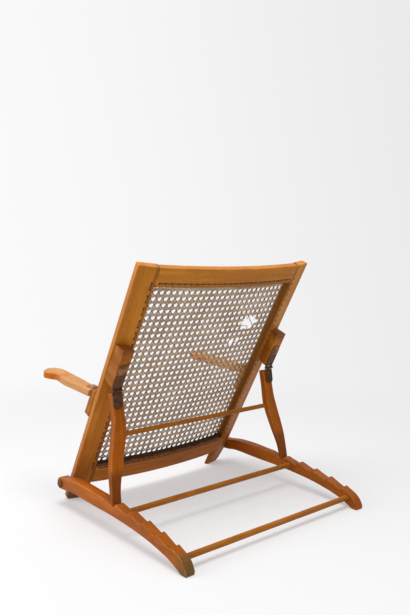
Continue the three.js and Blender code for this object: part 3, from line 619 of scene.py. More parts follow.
def make_pair(name, shape, material, body, stands_for, smooth_angle=SMOOTH):
    """A piece on the left and its mirror image on the right. Braces in the name of the body
    stand for the side."""
    for side in SIDES:
        make_piece(f"{name}_{side}", shape.on_side(side), material, body.format(side),
                   [f"{stands_for}_{side}"], smooth_angle)


class Value:
    """An output socket whose arithmetic adds Math nodes."""

    def __init__(self, nodes, socket):
        self.nodes, self.socket = nodes, socket

    def _math(self, operation, *inputs, clamp=False):
        return self.nodes.add("ShaderNodeMath", {"operation": operation, "use_clamp": clamp}, inputs)

    def __add__(self, other):
        return self._math("ADD", self, other)

    def __sub__(self, other):
        return self._math("SUBTRACT", self, other)

    def __rsub__(self, other):
        return self._math("SUBTRACT", other, self)

    def __mul__(self, other):
        return self._math("MULTIPLY", self, other)

    __radd__ = __add__
    __rmul__ = __mul__

    def clamped(self):
        """The value held between nought and one."""
        return self._math("ADD", self, 0.0, clamp=True)

    def most(self, other):
        """The greater of two values."""
        return self._math("MAXIMUM", self, other)

    def rising(self, low, high):
        """Nought below the low value, one above the high one and smooth between."""
        return self.nodes.add("ShaderNodeMapRange", {"interpolation_type": "SMOOTHSTEP"},
                              {"Value": self, "From Min": low, "From Max": high})


class Nodes:
    """A material's node tree, with one method that adds any node."""

    def __init__(self, name=None, world=None):
        self.material = world or bpy.data.materials.new(name)
        self.material.use_nodes = True
        self.tree = self.material.node_tree
        if world:
            self.tree.nodes.clear()
            self.out = self.tree.nodes.new("ShaderNodeOutputWorld")
        else:
            self.shader = self.tree.nodes["Principled BSDF"]
            self.out = self.tree.nodes["Material Output"]

    def add(self, kind, settings=None, inputs=(), output=0):
        """A node of a type with its settings, and values or links for its sockets."""
        node = self.tree.nodes.new(kind)
        for key, setting in (settings or {}).items():
            setattr(node, key, setting)
        pairs = inputs.items() if isinstance(inputs, dict) else enumerate(inputs)
        for key, given in pairs:
            self.put(node.inputs[key], given)
        return Value(self, node.outputs[output])

    def put(self, socket, given):
        """A link, or a value written on the socket itself."""
        if isinstance(given, Value):
            self.tree.links.new(given.socket, socket)
        elif socket.type == "RGBA":
            socket.default_value = (*tuple(given)[:3], 1.0)
        else:
            socket.default_value = given

    def grain(self):
        """Place along and across the grain."""
        return self.add("ShaderNodeAttribute", {"attribute_name": "grain"}, output="Vector")

    def edge(self):
        """One on a worn edge, and less than nought at dirty joints and on faces of painted shade
        over dirty wood.
        """
        return self.add("ShaderNodeAttribute", {"attribute_name": "edge"}, output="Fac")

    def object_place(self):
        return self.add("ShaderNodeTexCoord", output="Object")

    def mapped(self, vector, scale, turn=(0.0, 0.0, 0.0)):
        return self.add("ShaderNodeMapping", None,
                        {"Vector": vector, "Scale": scale, "Rotation": turn})

    def noise(self, vector, scale=1.0, detail=3.0, roughness=0.55, distortion=0.0):
        return self.add("ShaderNodeTexNoise", None, {"Vector": vector, "Scale": scale,
                        "Detail": detail, "Roughness": roughness, "Distortion": distortion})

    def mix(self, share, first, second):
        """Two colours mixed. A mix node's colours are its inputs 6 and 7 and its output 2."""
        return self.add("ShaderNodeMix", {"data_type": "RGBA"}, {0: share, 6: first, 7: second}, 2)

    def mix_shader(self, share, first, second):
        """Two shaders mixed and sent to the output."""
        mixed = self.add("ShaderNodeMixShader", None, (share, first, second))
        self.put(self.out.inputs["Surface"], mixed)

    def parts(self, vector):
        """The three numbers of a vector."""
        node = self.add("ShaderNodeSeparateXYZ", None, (vector,)).socket.node
        return [Value(self, socket) for socket in node.outputs]

    def rays(self):
        """One for a ray from the camera, and one for that or a ray that it sees by: a glossy one
        or one that has passed through glass."""
        camera, glossy, through = (self.add("ShaderNodeLightPath", output=f"Is {word} Ray")
                                   for word in ("Camera", "Glossy", "Transmission"))
        return camera, camera.most(glossy).most(through)

    def finish(self, **sockets):
        """The material, with values or links for the main shader's sockets."""
        for key, given in sockets.items():
            self.put(self.shader.inputs[key.replace("_", " ")], given)
        return self.material

    def bump(self, height, strength, distance):
        return self.add("ShaderNodeBump", None,
                        {"Height": height, "Strength": strength, "Distance": distance})


# Scales of the wood's figure along the grain and in both directions across it
BANDS = (3.0, 70.0, 50.0)
WIDE_BANDS = (1.6, 24.0, 18.0)
PORES = (22.0, 900.0, 700.0)
BLOTCHES = (9.0, 16.0, 16.0)
RUBBED_SPOTS = (60.0, 60.0, 60.0)
# How far the rim of a stain wanders, and the depth of the wood's grain
STAIN_WANDER = 0.02
GRAIN_DEPTH = 0.0006


def wood_material(name, tones, low=None, reach=(0.05, 0.35), worn=0.35, stains=(), strip=None):
    """Varnished wood: broad bands and fine pores along the grain, blotches, paler worn edges,
    dirty ends where they meet other pieces, painted shade over dirty wood on the faces that the
    board marks dark, and another tone toward the floor. Strip is a dark strip of painted shade
    over dirty wood along an edge: the place across the grain where it starts, where it is full,
    and its strength. A stain has a tone, a strength and its ranges: each an axis and the places on
    it where the stain starts and where it is full."""
    colours = bpy.context.scene.chair_colours
    light, dark = tones
    n = Nodes(name)
    vector = n.grain()
    bands = n.noise(n.mapped(vector, BANDS), detail=4.0, roughness=0.6, distortion=0.6)
    wide = n.noise(n.mapped(vector, WIDE_BANDS), detail=2.0, roughness=0.5, distortion=0.8)
    pores = n.noise(n.mapped(vector, PORES), detail=2.0, roughness=0.6)
    blotch = n.noise(n.mapped(vector, BLOTCHES), detail=3.0, roughness=0.6)
    spot = n.parts(n.object_place())
    if low:
        share = spot[2].rising(*reach)
        light = n.mix(share, low[0], light)
        dark = n.mix(share, low[1], dark)
    figure = (bands * 0.6 + wide * 0.4).rising(0.36, 0.64)
    base = n.mix(0.3 + figure * 0.7, dark, light)
    base = n.mix((0.6 - blotch).rising(0.0, 0.2) * 0.4, base, dark)
    speck = (0.44 - pores).rising(0.0, 0.08)
    base = n.mix(speck * 0.3, base, colours.grime)
    rub = n.noise(n.mapped(vector, RUBBED_SPOTS), detail=2.0).rising(0.4, 0.62)
    edge = n.edge()
    # A strip of painted shade over dirty wood along the edge beside the cane
    if strip:
        start, full, strength = strip
        share = n.parts(vector)[1].rising(start, full) * (0.6 + blotch * 0.8) * strength
        base = n.mix(share.clamped(), base, colours.dirt)
    for tone, strength, ranges in stains:
        share = (blotch + rub * 0.25).rising(0.3, 0.6) * strength
        for axis, start, full in ranges:
            share = share * (spot[axis] + (blotch - 0.5) * STAIN_WANDER).rising(start, full)
        base = n.mix(share, base, tone)
    base = n.mix(edge.most(0.0) * rub * worn, base, colours.tan)
    # Below nought: dirty joints, and painted shade over dirty wood on faces marked dark
    base = n.mix((edge * -1.0).most(0.0) * 0.93, base, colours.grime)
    rough = 0.4 + blotch * 0.22 + speck * 0.1
    return n.finish(Base_Color=base, Roughness=rough, Specular_Tint=colours.varnish,
                    Specular_IOR_Level=0.4,
                    Normal=n.bump(bands * 0.5 + pores * 0.25, 0.35, GRAIN_DEPTH))


# Scales of the cane's streaks and stains, the depth of a streak and the soft rim of the band
# of painted shade above the bottom rail
STREAKS = (40.0, 2.5, 2.5)
CANE_STAINS = 14.0
STREAK_DEPTH = 0.0003
SHADE_HEM_RIM = 0.004


def cane_material(name, low, darker=0.0):
    """Dull cane: long fine streaks, stains that spread over many strands, and painted shade along
    the strands' rims and below a height along the back, which is the depth times the lean's sine
    plus the height times its cosine."""
    colours, lean = bpy.context.scene.chair_colours, bpy.context.scene.chair_wood.lean
    n = Nodes(name)
    place = n.object_place()
    stain = n.noise(place, CANE_STAINS, detail=4.0, roughness=0.6)
    streak = n.noise(n.mapped(n.grain(), STREAKS), detail=2.0)
    tone = n.mix(stain.rising(0.35, 0.7), colours.cane_stained, colours.cane)
    tone = n.mix((0.56 - streak).rising(0.0, 0.2) * 0.4 + darker, tone, colours.cane_dark)
    # Painted shade on the strands' rims and on the band of cane above the bottom rail
    rim = n.parts(n.grain())[1]
    rim = (rim * rim).rising(0.25, 0.7)
    depth, height = n.parts(place)[1:]
    upward = (depth - PIVOT[1]) * math.sin(lean) + (height - PIVOT[2]) * math.cos(lean)
    hem = (low - upward).rising(0.0, SHADE_HEM_RIM)
    tone = n.mix((rim * 0.95).most(hem * 0.95), tone, colours.cane_dark)
    return n.finish(Base_Color=tone, Roughness=0.62 + streak * 0.2,
                    Normal=n.bump(streak, 0.3, STREAK_DEPTH))


# Scales of the metal's patches and scratches, the scratches' stretch and turn, their depth, and
# the wander, soft rim and line of painted shade at the lacquer's edge
PATCHES = 90.0
SCRATCH_SCALE = 900.0
SCRATCHES = (1.0, 1.0, 0.12)
SCRATCH_TURN = (0.3, 0.2, 0.1)
SCRATCH_DEPTH = 0.0004
LACQUER_WANDER, LACQUER_RIM, LACQUER_LINE = 0.003, 0.0012, 0.0006


def metal_material(name, base, worn, share=0.5, above=None):
    """Tarnished metal: patches of patina over darker metal, fine scratches, uneven roughness,
    and above a height, where one is given, brown lacquer with a line of painted shade at its edge."""
    colours = bpy.context.scene.chair_colours
    n = Nodes(name)
    place = n.object_place()
    patch = n.noise(place, PATCHES, detail=4.0, roughness=0.6)
    scratch = n.noise(n.mapped(place, SCRATCHES, SCRATCH_TURN), SCRATCH_SCALE, detail=2.0)
    tone = n.mix(patch.rising(0.4, 0.68) * share, base, worn)
    tone = n.mix((0.45 - patch).rising(0.0, 0.15) * 0.6, tone, colours.grime)
    metallic = 0.55 + patch * 0.4
    if above:
        height = n.parts(place)[2] + (patch - 0.5) * LACQUER_WANDER
        lacquer = height.rising(above, above + LACQUER_RIM)
        # A line of painted shade along the lacquer's edge
        line = (1.0 - height.rising(above - LACQUER_LINE, above)
                + height.rising(above, above + LACQUER_LINE))
        brown = n.mix(patch.rising(0.4, 0.6), colours.lacquer_dark, colours.lacquer)
        tone = n.mix(lacquer, tone, brown)
        tone = n.mix((1.0 - line).clamped() * 0.9, tone, colours.grime)
        metallic = metallic * (1.0 - lacquer)
    return n.finish(Base_Color=tone, Metallic=metallic,
                    Roughness=0.42 + patch * 0.3 + scratch * 0.1,
                    Normal=n.bump(patch * 0.6 + scratch * 0.4, 0.35, SCRATCH_DEPTH))


MADE = {}


def look(name):
    """One of the chair's materials, made once."""
    if name in MADE:
        return MADE[name]
    scene = bpy.context.scene
    c, sizes = scene.chair_colours, scene.chair_wood
    # Top of the band of painted shade on the cane above the bottom rail
    hem = sizes.bottom_rail_from + sizes.bottom_rail_height + scene.chair_cane.hem
    tail = RAIL_HIGH[1]
    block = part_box("hinge_block_left")[1]
    arm_low, arm_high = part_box("arm_left")
    # Ranges of the stains: an axis, where the stain starts and where it is full
    left_side = (0, 0.15, 0.2)
    foot = (2, 0.034, 0.026)
    rail_rear = (1, tail - 0.26, tail - 0.2)
    rail_tip = (1, tail - 0.034, tail - 0.014)
    block_top = (2, block[2] - 0.036, block[2] - 0.012)
    block_face = (1, block[1] - 0.022, block[1] - 0.008)
    knob = (1, arm_low[1] + 0.1, arm_low[1] + 0.065)
    below_top = (2, arm_high[2] - 0.001, arm_high[2] - 0.006)
    lacquer_from = STRUT_PIN[2] + 0.034

    orange = (c.orange, c.orange_dark)

    def back_wood(name, strip, stains=()):
        return wood_material(name, (c.honey, c.honey_dark), (c.amber, c.amber_dark),
                             stains=stains, strip=strip)

    makers = {
        # Strips of painted shade over dirty wood along the edges beside the cane
        "stile": lambda: back_wood("stile_wood", (-0.0162, -0.0182, 0.45),
                                   [(c.patina, 0.95, (left_side, foot))]),
        "bottom_rail": lambda: back_wood("bottom_rail_wood", (0.0212, 0.0228, 0.95)),
        "top_rail": lambda: back_wood("top_rail_wood", (-0.0155, -0.0175, 0.3)),
        "block": lambda: wood_material("block_wood", (c.block, c.block_dark), stains=[
            (c.umber, 0.8, (block_top, block_face))]),
        "orange": lambda: wood_material("orange_wood", orange, stains=[
            (c.umber, 0.45, (rail_rear,)), (c.patina, 0.9, (left_side, rail_tip))]),
        "strut": lambda: wood_material("strut_wood", orange, (c.umber, c.orange_dark),
                                       (0.115, 0.14)),
        "rod": lambda: wood_material("rod_wood", (c.rod, c.rod_dark)),
        "tan": lambda: wood_material("tan_wood", (c.tan, c.tan_dark), worn=0.2, stains=[
            (c.orange, 1.0, (knob, below_top))]),
        "cane": lambda: cane_material("dull_cane", hem),
        # The rising diagonals are darker all over
        "cane_dark": lambda: cane_material("stained_cane", hem, 0.85),
        # Loops behind the frame, darkened as painted shade
        "knot": lambda: cane_material("knotted_cane", hem, 0.8),
        # Near-black discs on the holes: painted shade
        "peg": lambda: wood_material("peg_wood", (c.grime, c.grime)),
        "bronze": lambda: metal_material("dark_bronze", c.bronze, c.bronze_worn),
        "leaf": lambda: metal_material("lacquered_bronze", c.bronze, c.bronze_worn,
                                       above=lacquer_from),
        "small_leaf": lambda: metal_material("small_leaf_bronze", c.brown_worn, c.leaf_pale, 0.6),
        "pivot": lambda: metal_material("browned_steel", c.brown_metal, c.brown_worn, 0.7),
        "steel": lambda: metal_material("tarnished_steel", c.steel, c.bronze_worn, 0.35),
    }
    MADE[name] = makers[name]()
    return MADE[name]


# Operators

class CHAIR_OT_stiles(bpy.types.Operator):
    """Two flat posts: a rounded rectangle carried along a straight line from the floor"""
    bl_idname = "chair.stiles"
    bl_label = "Stiles"

    def execute(self, context):
        wood = context.scene.chair_wood
        stile = Stile(wood)
        along, across, deep = (back_vector(*v) for v in (stile.along, stile.across, stile.deep))
        start = in_back(*stile.start)
        foot = -start[2] / along[2]
        floor = np.array([0.0, 0.0, 1.0])
        skew = [oblique(v, along, floor) for v in (across, deep)]
        reach = wood.foot_taper_height

        def section(t):
            above = t - foot
            blend = smoothstep(above / reach)[:, None]
            chamfer = wood.foot_chamfer_width * np.clip(
                1 - above / wood.foot_chamfer_height, 0, 1)
            taper = wood.foot_taper_depth * np.clip(1 - above / reach, 0, 1)
            side = np.full(len(t), stile.half_width)
            face = np.full(len(t), stile.half_depth)
            return (start + along * t[:, None], skew[0] * (1 - blend) + across * blend,
                    skew[1] * (1 - blend) + deep * blend, -side, side - chamfer, -face, face - taper)

        # The inner face, toward the cane, gets painted shade over dirty wood
        shape = board(section, foot, wood.stile_top, wood.edge_radius, BOARD_RINGS,
                      dark=("low", 0.45))
        make_pair("stile_board", shape, look("stile"), "back", "stile")
        return {"FINISHED"}


class CHAIR_OT_back_rails(bpy.types.Operator):
    """Two bowed rails: a rounded rectangle carried along an arc between the stiles"""
    bl_idname = "chair.back_rails"
    bl_label = "Back rails"

    def execute(self, context):
        wood = context.scene.chair_wood
        stile = Stile(wood)
        middle_radius = wood.bow_radius - wood.back_rail_thickness / 2
        top, bottom = wood.stile_top, wood.bottom_rail_from
        # The faces toward the cane get painted shade over dirty wood
        rails = (("top_rail", top - wood.top_rail_height, top, ("low", 0.5)),
                 ("bottom_rail", bottom, bottom + wood.bottom_rail_height, ("high", 1.0)))
        for name, low, high, dark in rails:
            height = (low + high) / 2
            corner = stile.start - stile.across * (stile.half_width + wood.joint_gap)
            end = corner[0] + height * math.tan(wood.stile_splay)
            # The rail's end on the stile's inner side moves with its depth: four rounds settle it
            for _ in range(4):
                depth = bowed_depth(wood, middle_radius, end)
                rest = stile.across[1] * (depth - corner[1]) + stile.across[2] * height
                end = corner[0] - rest / stile.across[0]
            reach = math.asin(end / middle_radius)
            normal = np.array([stile.across * (sign, 1, 1) for sign in (1, -1)])

            def section(run):
                t = run / middle_radius
                tangent = np.stack([np.cos(t), -np.sin(t), 0 * t], 1)
                outer = np.stack([np.sin(t), np.cos(t), 0 * t], 1)
                centre = np.stack([middle_radius * np.sin(t), wood.bow - wood.bow_radius
                                   + middle_radius * np.cos(t), 0 * t + height], 1)
                up = np.tile([0.0, 0.0, 1.0], (len(t), 1))
                side = normal[(t < 0).astype(int)]
                fade = smoothstep(np.abs(t) / reach * 4 - 3)[:, None]
                slope = (tangent * side).sum(1, keepdims=True)
                slid = [v - tangent * ((v * side).sum(1, keepdims=True) / slope) * fade
                        for v in (up, outer)]
                half = (high - low) / 2 + 0 * t
                thick = wood.back_rail_thickness / 2 + 0 * t
                return (in_back(*centre.T), back_vector(*slid[0].T), back_vector(*slid[1].T),
                        -half, half, -thick, thick)

            end_run = reach * middle_radius
            shape = board(section, -end_run, end_run, wood.edge_radius, ARC_RINGS, True, dark)
            make_piece(f"{name}_board", shape, look(name), "back", [name])
        return {"FINISHED"}


# Depth at which a hinge block's outline starts, before the stile's rear holds it off
BLOCK_ROOT = -0.01


class CHAIR_OT_blocks(bpy.types.Operator):
    """The blocks behind and before the stiles: outlines seen from the side, carried across and
    held off the turned face of the stile"""
    bl_idname = "chair.blocks"
    bl_label = "Hinge and arm blocks"

    def execute(self, context):
        wood = context.scene.chair_wood
        stile = Stile(wood)
        gap = wood.joint_gap
        radius = wood.edge_radius

        def place(grid):
            return in_back(grid[..., 2], grid[..., 0], grid[..., 1])

        def held(depth, keep):
            def bend(grid):
                limit = stile.face_depth(grid[..., 2], grid[..., 1], depth)
                grid[..., 0] = keep(grid[..., 0], limit)
                return grid
            return bend

        low = wood.block_from
        top = low + wood.block_height
        rear = wood.block_rear
        inner = wood.stile_offset - wood.block_inset
        outline = even([(BLOCK_ROOT, low + wood.block_toe_rise),
                        (rear - wood.block_toe, low), (rear, low), (rear, top),
                        (BLOCK_ROOT, top - wood.block_top_drop)])
        hinge = plate(outline, inner, inner + wood.block_width, radius, place,
                      held(stile.half_depth + gap, np.maximum))
        pin = wood.arm_pin_height
        front = -wood.arm_block_front
        knuckle = context.scene.chair_metal.arm_knuckle
        turn = wood.lean - wood.arm_rise

        def top_at(depth):
            reach = math.sin(turn) * (depth - front + knuckle + gap)
            return pin + (reach - knuckle - gap) / math.cos(turn)

        foot = pin - wood.arm_block_below
        outline = even([(front, foot), (0.0, foot), (0.0, top_at(0.0)), (front, top_at(front))])
        inner = wood.stile_offset - wood.arm_block_inset
        arm = plate(outline, inner, inner + wood.arm_block_width, radius, place,
                    held(-stile.half_depth - gap, np.minimum))
        make_pair("hinge_block_wood", hinge, look("block"), "back", "hinge_block")
        make_pair("arm_block_wood", arm, look("block"), "back", "arm_block")
        return {"FINISHED"}


# Heights of the notches' floors and of the crests behind them, over the rail's height
NOTCH_FLOORS = (0.834, 0.8, 0.733, 0.634, 0.495)
NOTCH_CRESTS = (0.936, 0.896, 0.821, 0.726, 0.583)
# Crest: place over that of the first notch, and height over the rail's height
RAIL_CREST = ((0.1036, 0.943), (0.1903, 0.978), (0.2961, 0.997), (0.4653, 1.0), (0.626, 0.977),
              (0.7995, 0.954))
# Tail: place over the tail's length, and height; sole: where the tail meets the floor
RAIL_TAIL = ((0.59, 0.434), (0.782, 0.335), (0.887, 0.244), (0.974, 0.14), (1.0, 0.081))
RAIL_SOLE = 0.965124
# Underside from the floor forward: place over the rail's length, and height
RAIL_BELLY = ((0.964, 0.0), (0.934, 0.1), (0.889, 0.21), (0.83, 0.305), (0.759, 0.393),
              (0.69, 0.455), (0.615, 0.502), (0.494, 0.55), (0.4, 0.566), (0.305, 0.57),
              (0.2, 0.588), (0.138, 0.604), (0.08, 0.6), (0.04, 0.56))
NOSE_ANGLES = np.radians(np.linspace(245, 76, 19))
CREST_STEPS = 6
CREST_CUT = 0.3
CURVE_STEPS = 5


class CHAIR_OT_base_rails(bpy.types.Operator):
    """Two notched rails: a side outline of an arc, smooth curves and ratchet teeth"""
    bl_idname = "chair.base_rails"
    bl_label = "Base rails"

    def execute(self, context):
        wood = context.scene.chair_wood
        height = RAIL_HIGH[2] - RAIL_LOW[2]
        first, pitch = wood.notch_first, wood.notch_pitch
        last = first + (len(NOTCH_FLOORS) - 1) * pitch
        run = last + wood.rail_tail
        nose = np.stack([np.cos(NOSE_ANGLES), np.sin(NOSE_ANGLES)], 1) * wood.rail_nose_radius
        nose += (0, PIVOT[2])
        crest = smooth_curve(np.array(RAIL_CREST) * (first, height), CREST_STEPS)
        teeth = [(first + k * pitch + extra, share * height)
                 for k, pair in enumerate(zip(NOTCH_FLOORS, NOTCH_CRESTS))
                 for extra, share in zip((0, wood.notch_wall_run), pair)]
        tail = smooth_curve(np.array(RAIL_TAIL) * (wood.rail_tail, height) + (last, 0),
                            CURVE_STEPS)
        sole = np.array([(last + RAIL_SOLE * wood.rail_tail, 0.0)])
        belly = smooth_curve(np.array(RAIL_BELLY) * (run, height), CURVE_STEPS)
        outline = np.vstack([nose, crest, rounded_teeth(teeth, wood.edge_radius), tail, sole,
                             belly]) + (PIVOT[1], 0)

        def place(grid):
            return np.stack([grid[..., 2], grid[..., 0], grid[..., 1]], -1)

        shape = plate(outline, RAIL_LOW[0], RAIL_HIGH[0], wood.edge_radius, place)
        make_pair("base_rail_wood", shape, look("orange"), "base", "base_rail")
        return {"FINISHED"}


def rounded_teeth(points, radius):
    """The ratchet line with each crest cut back by the radius along both of its edges, and a
    point between them that lies the cut's share of the radius along both."""
    points = np.asarray(points, float)
    out = []
    for k, point in enumerate(points):
        if k % 2 == 0 or k == len(points) - 1:
            out.append(point)
            continue
        to_wall = unit(points[k - 1] - point)
        to_ramp = unit(points[k + 1] - point)
        out += [point + to_wall * radius, point + (to_wall + to_ramp) * radius * CREST_CUT,
                point + to_ramp * radius]
    return np.array(out)


# By share of a strut's length: thickness over that at its top, and how far each edge has gone
# from its place at the top to its place at the foot
STRUT_FRONT = ((0, 1), (0.3, 1), (0.55, 0.97), (0.78, 0.7), (1, 0.54))
STRUT_OUTER = ((0, 0), (0.08, -0.08), (0.16, -0.12), (0.28, -0.05), (0.364, 0.105), (0.45, 0.29),
               (0.527, 0.47), (0.587, 0.61), (0.733, 0.87), (0.866, 0.96), (1, 1))
STRUT_INNER = ((0, 0), (0.15, 0.04), (0.3, 0.02), (0.356, 0.04), (0.437, 0.165), (0.493, 0.266),
               (0.561, 0.4), (0.686, 0.63), (0.814, 0.88), (0.908, 0.98), (1, 1))
# Share of the length at which the foot's bevel begins
BEVEL_FROM = 0.9


class StrutPlace:
    """Where a strut hangs: its tilt, its length and its edges at each share of that length."""

    def __init__(self, scene):
        wood, metal = scene.chair_wood, scene.chair_metal
        self.wood = wood
        height = RAIL_HIGH[2] - RAIL_LOW[2]
        floor = NOTCH_FLOORS[0] * height
        foot_y = PIVOT[1] + wood.notch_first - wood.foot_gap - STRUT_PIN[1]
        foot_z = STRUT_PIN[2] - floor - wood.foot_lift
        self.rear = -metal.knuckle - wood.joint_gap
        self.reach = math.sqrt(foot_y ** 2 + foot_z ** 2 - self.rear ** 2)
        self.tilt = math.atan2(foot_y, foot_z) - math.atan2(self.rear, self.reach)
        crest = RAIL_CREST[-1]
        self.slope = math.atan2(crest[1] * height - floor,
                                wood.notch_first * (1 - crest[0]))
        self.top_inner = wood.stile_offset - wood.strut_top_inset
        self.top_outer = self.top_inner + wood.strut_top_width
        self.drop = wood.strut_top_drop

    def place(self, points):
        """Local across, depth and height turned by the tilt about the hinge pin."""
        return turned(points, self.tilt, STRUT_PIN)

    def inner(self, share):
        """Place across of the inner edge."""
        return self.top_inner + (RAIL_LOW[0] - self.top_inner) * hermite(STRUT_INNER, share)

    def outer(self, share):
        """Place across of the outer edge."""
        return self.top_outer + (RAIL_HIGH[0] - self.top_outer) * hermite(STRUT_OUTER, share)

    def thickness(self, share):
        return self.wood.strut_thickness * hermite(STRUT_FRONT, share)


class CHAIR_OT_struts(bpy.types.Operator):
    """Two S-curved struts: a rounded rectangle between two edge curves, with a bevelled foot"""
    bl_idname = "chair.struts"
    bl_label = "Struts"

    def execute(self, context):
        wood = context.scene.chair_wood
        strut = StrutPlace(context.scene)
        run = strut.reach - strut.drop
        bevel = math.tan(strut.slope + strut.tilt)
        vector = strut.place(np.zeros(3))

        def section(t):
            share = np.clip(t / run, 0, 1)
            inner, outer = strut.inner(share), strut.outer(share)
            thick = strut.thickness(share)
            centre = np.stack([(inner + outer) / 2, strut.rear - thick / 2, -strut.drop - t], 1)
            fade = smoothstep((share - BEVEL_FROM) / (1 - BEVEL_FROM))[:, None]
            centre[:, 2] += thick / 2 * bevel * fade[:, 0]
            across = np.tile([1.0, 0.0, 0.0], (len(t), 1))
            deep = np.concatenate([0 * fade, 1 + 0 * fade, -bevel * fade], 1)
            half = (outer - inner) / 2
            return (strut.place(centre), strut.place(across) - vector, strut.place(deep) - vector,
                    -half, half, -thick / 2, thick / 2)

        shape = board(section, 0.0, run, wood.edge_radius, BOARD_RINGS)
        make_pair("strut_wood", shape, look("strut"), "strut_frame", "strut")
        share = (wood.strut_rod_drop - strut.drop) / run
        reach = strut.inner(share) + wood.rod_tenon
        middle = strut.place((0.0, strut.rear - strut.thickness(share) / 2,
                              -wood.strut_rod_drop))
        rod = lathe(rod_profile(wood.strut_rod_radius, -reach, reach, wear=0.03), middle,
                    ACROSS, sides=32)
        make_piece("strut_rod", rod, look("rod"), "strut_frame", ["strut_dowel"])
        return {"FINISHED"}


class CHAIR_OT_base_rods(bpy.types.Operator):
    """Two round rods between the base rails, turned about a level axis"""
    bl_idname = "chair.base_rods"
    bl_label = "Base rods"

    def execute(self, context):
        wood = context.scene.chair_wood
        for end in ("front", "rear"):
            low, high = (np.array(c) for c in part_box(f"base_dowel_{end}"))
            middle = (low + high) / 2 * (0, 1, 1)
            reach = RAIL_LOW[0] + wood.rod_tenon
            rod = lathe(rod_profile(wood.base_rod_radius, -reach, reach, wear=0.04), middle,
                        ACROSS, sides=36)
            make_piece(f"base_rod_{end}", rod, look("rod"), "base", [f"base_dowel_{end}"])
        return {"FINISHED"}


# Outline from the outer edge round the knob to the inner one: place over the arm's length, and
# place across over its width
ARM_EDGE = ((0.3, 1), (0.494, 1.01), (0.608, 0.93), (0.71, 0.85), (0.75, 0.88), (0.785, 1),
            (0.83, 1.1), (0.878, 1.16), (0.925, 1.08), (0.965, 0.88), (0.99, 0.68), (1, 0.46),
            (0.98, 0.22), (0.922, 0.07), (0.856, 0), (0.75, 0.02), (0.656, 0.06), (0.465, 0.125),
            (0.265, 0.22), (0.127, 0.295))
# Inner corner of the root, over the arm's width
ARM_ROOT_SHARE = 0.34


def arm_place(points):
    """Across, depth and height turned up to the front by the arms' rise about their pin."""
    return turned(points, -bpy.context.scene.chair_wood.arm_rise, ARM_PIN)


class CHAIR_OT_arms(bpy.types.Operator):
    """Two arms with round knobs: a smooth plan outline carried through the thickness"""
    bl_idname = "chair.arms"
    bl_label = "Arms"

    def execute(self, context):
        wood, metal = context.scene.chair_wood, context.scene.chair_metal
        inner = wood.stile_offset - wood.arm_inset
        edge = smooth_curve([(inner + across * wood.arm_width, -along * wood.arm_length)
                             for along, across in ARM_EDGE], CURVE_STEPS)
        start = (inner + ARM_ROOT_SHARE * wood.arm_width, wood.arm_root)
        corner = (inner + wood.arm_width, wood.arm_root)
        outline = np.vstack([straight(start, corner), straight(corner, edge[0]), edge,
                             straight(edge[-1], start)[1:]])
        top = -metal.arm_knuckle - wood.joint_gap
        turn = wood.lean - wood.arm_rise

        def held(grid):
            limit = metal.arm_knuckle / math.cos(turn) + grid[..., 2] * math.tan(turn)
            grid[..., 1] = np.minimum(grid[..., 1], limit)
            return grid

        shape = plate(outline, top - wood.arm_thickness, top, wood.arm_edge_radius,
                      arm_place, held)
        shape.grain = shape.grain[:, [1, 0, 2]]
        make_pair("arm_wood", shape, look("tan"), "arm_{}", "arm")
        return {"FINISHED"}


# Torn ovals: middle across and upward, and half their width and height
TEARS = ((-0.131, 0.416, 0.0290, 0.0190), (-0.1175, 0.3655, 0.0075, 0.0065),
         (-0.0975, 0.3625, 0.0065, 0.0065))


class Weave:
    """The surface in which the cane is woven, in front of the back's rails and stiles."""

    def __init__(self, scene):
        self.sizes, self.wood = scene.chair_cane, scene.chair_wood
        self.stile = Stile(self.wood)
        self.low = self.wood.bottom_rail_from + self.wood.bottom_rail_height
        self.high = self.wood.stile_top - self.wood.top_rail_height

    def seam(self, v):
        """Half the distance between the stiles' inner front corners."""
        return self.stile.inner_front(v)[0]

    def side_line(self, v, behind=False):
        """Distance of a stile's row of holes from the middle, in front of it or behind it."""
        through = 0.0 if behind else self.wood.stile_thickness * math.tan(self.wood.stile_turn)
        return self.seam(v) + self.sizes.stile_hole_line - through

    def depth(self, x, v):
        """The lesser of the rails' bow, flattened between the rails, and the stiles' fronts."""
        corner, wood = self.stile.inner_front(v)[1], self.wood
        share = np.clip((v - self.low) / (self.high - self.low), 0, 1)
        flat = 1 - self.sizes.flat_share * 4 * share * (1 - share)
        arc = bowed_depth(wood, wood.bow_radius - wood.back_rail_thickness, x)
        lapped = corner - (np.abs(x) - self.seam(v)) * math.tan(wood.stile_turn)
        return np.minimum(corner + flat * (arc - corner), lapped) - self.sizes.sink

    def cut(self, x, v, ragged):
        """Where a strand passes a torn place, whose rim is ragged by a share."""
        torn = np.zeros(np.shape(x), bool)
        for middle_x, middle_v, reach_x, reach_v in TEARS:
            ring = ((x - middle_x) / reach_x) ** 2 + ((v - middle_v) / reach_v) ** 2
            torn |= ring < (1 + ragged) ** 2
        return torn

    def inside(self, x, v):
        """Where a place lies within the rectangle of the rows of holes."""
        line = self.sizes.hole_line
        return ((v > self.low - line) & (v < self.high + line)
                & (np.abs(x) < self.side_line(v) - 0.25 * self.sizes.strand_width))


# Steps of a strand per pitch, and the fewest points that make a piece of strand
STEPS = 8
SHORTEST_RUN = 4
# How far a strand's grain lies from another's, per metre between their starts
GRAIN_SHIFT = 7
# A strand's section: across over half its width, and height over half its thickness
RIBBON = np.array([(-1, 0), (-0.6, 0.85), (0.6, 0.85), (1, 0), (0.6, -0.85), (-0.6, -0.85)])


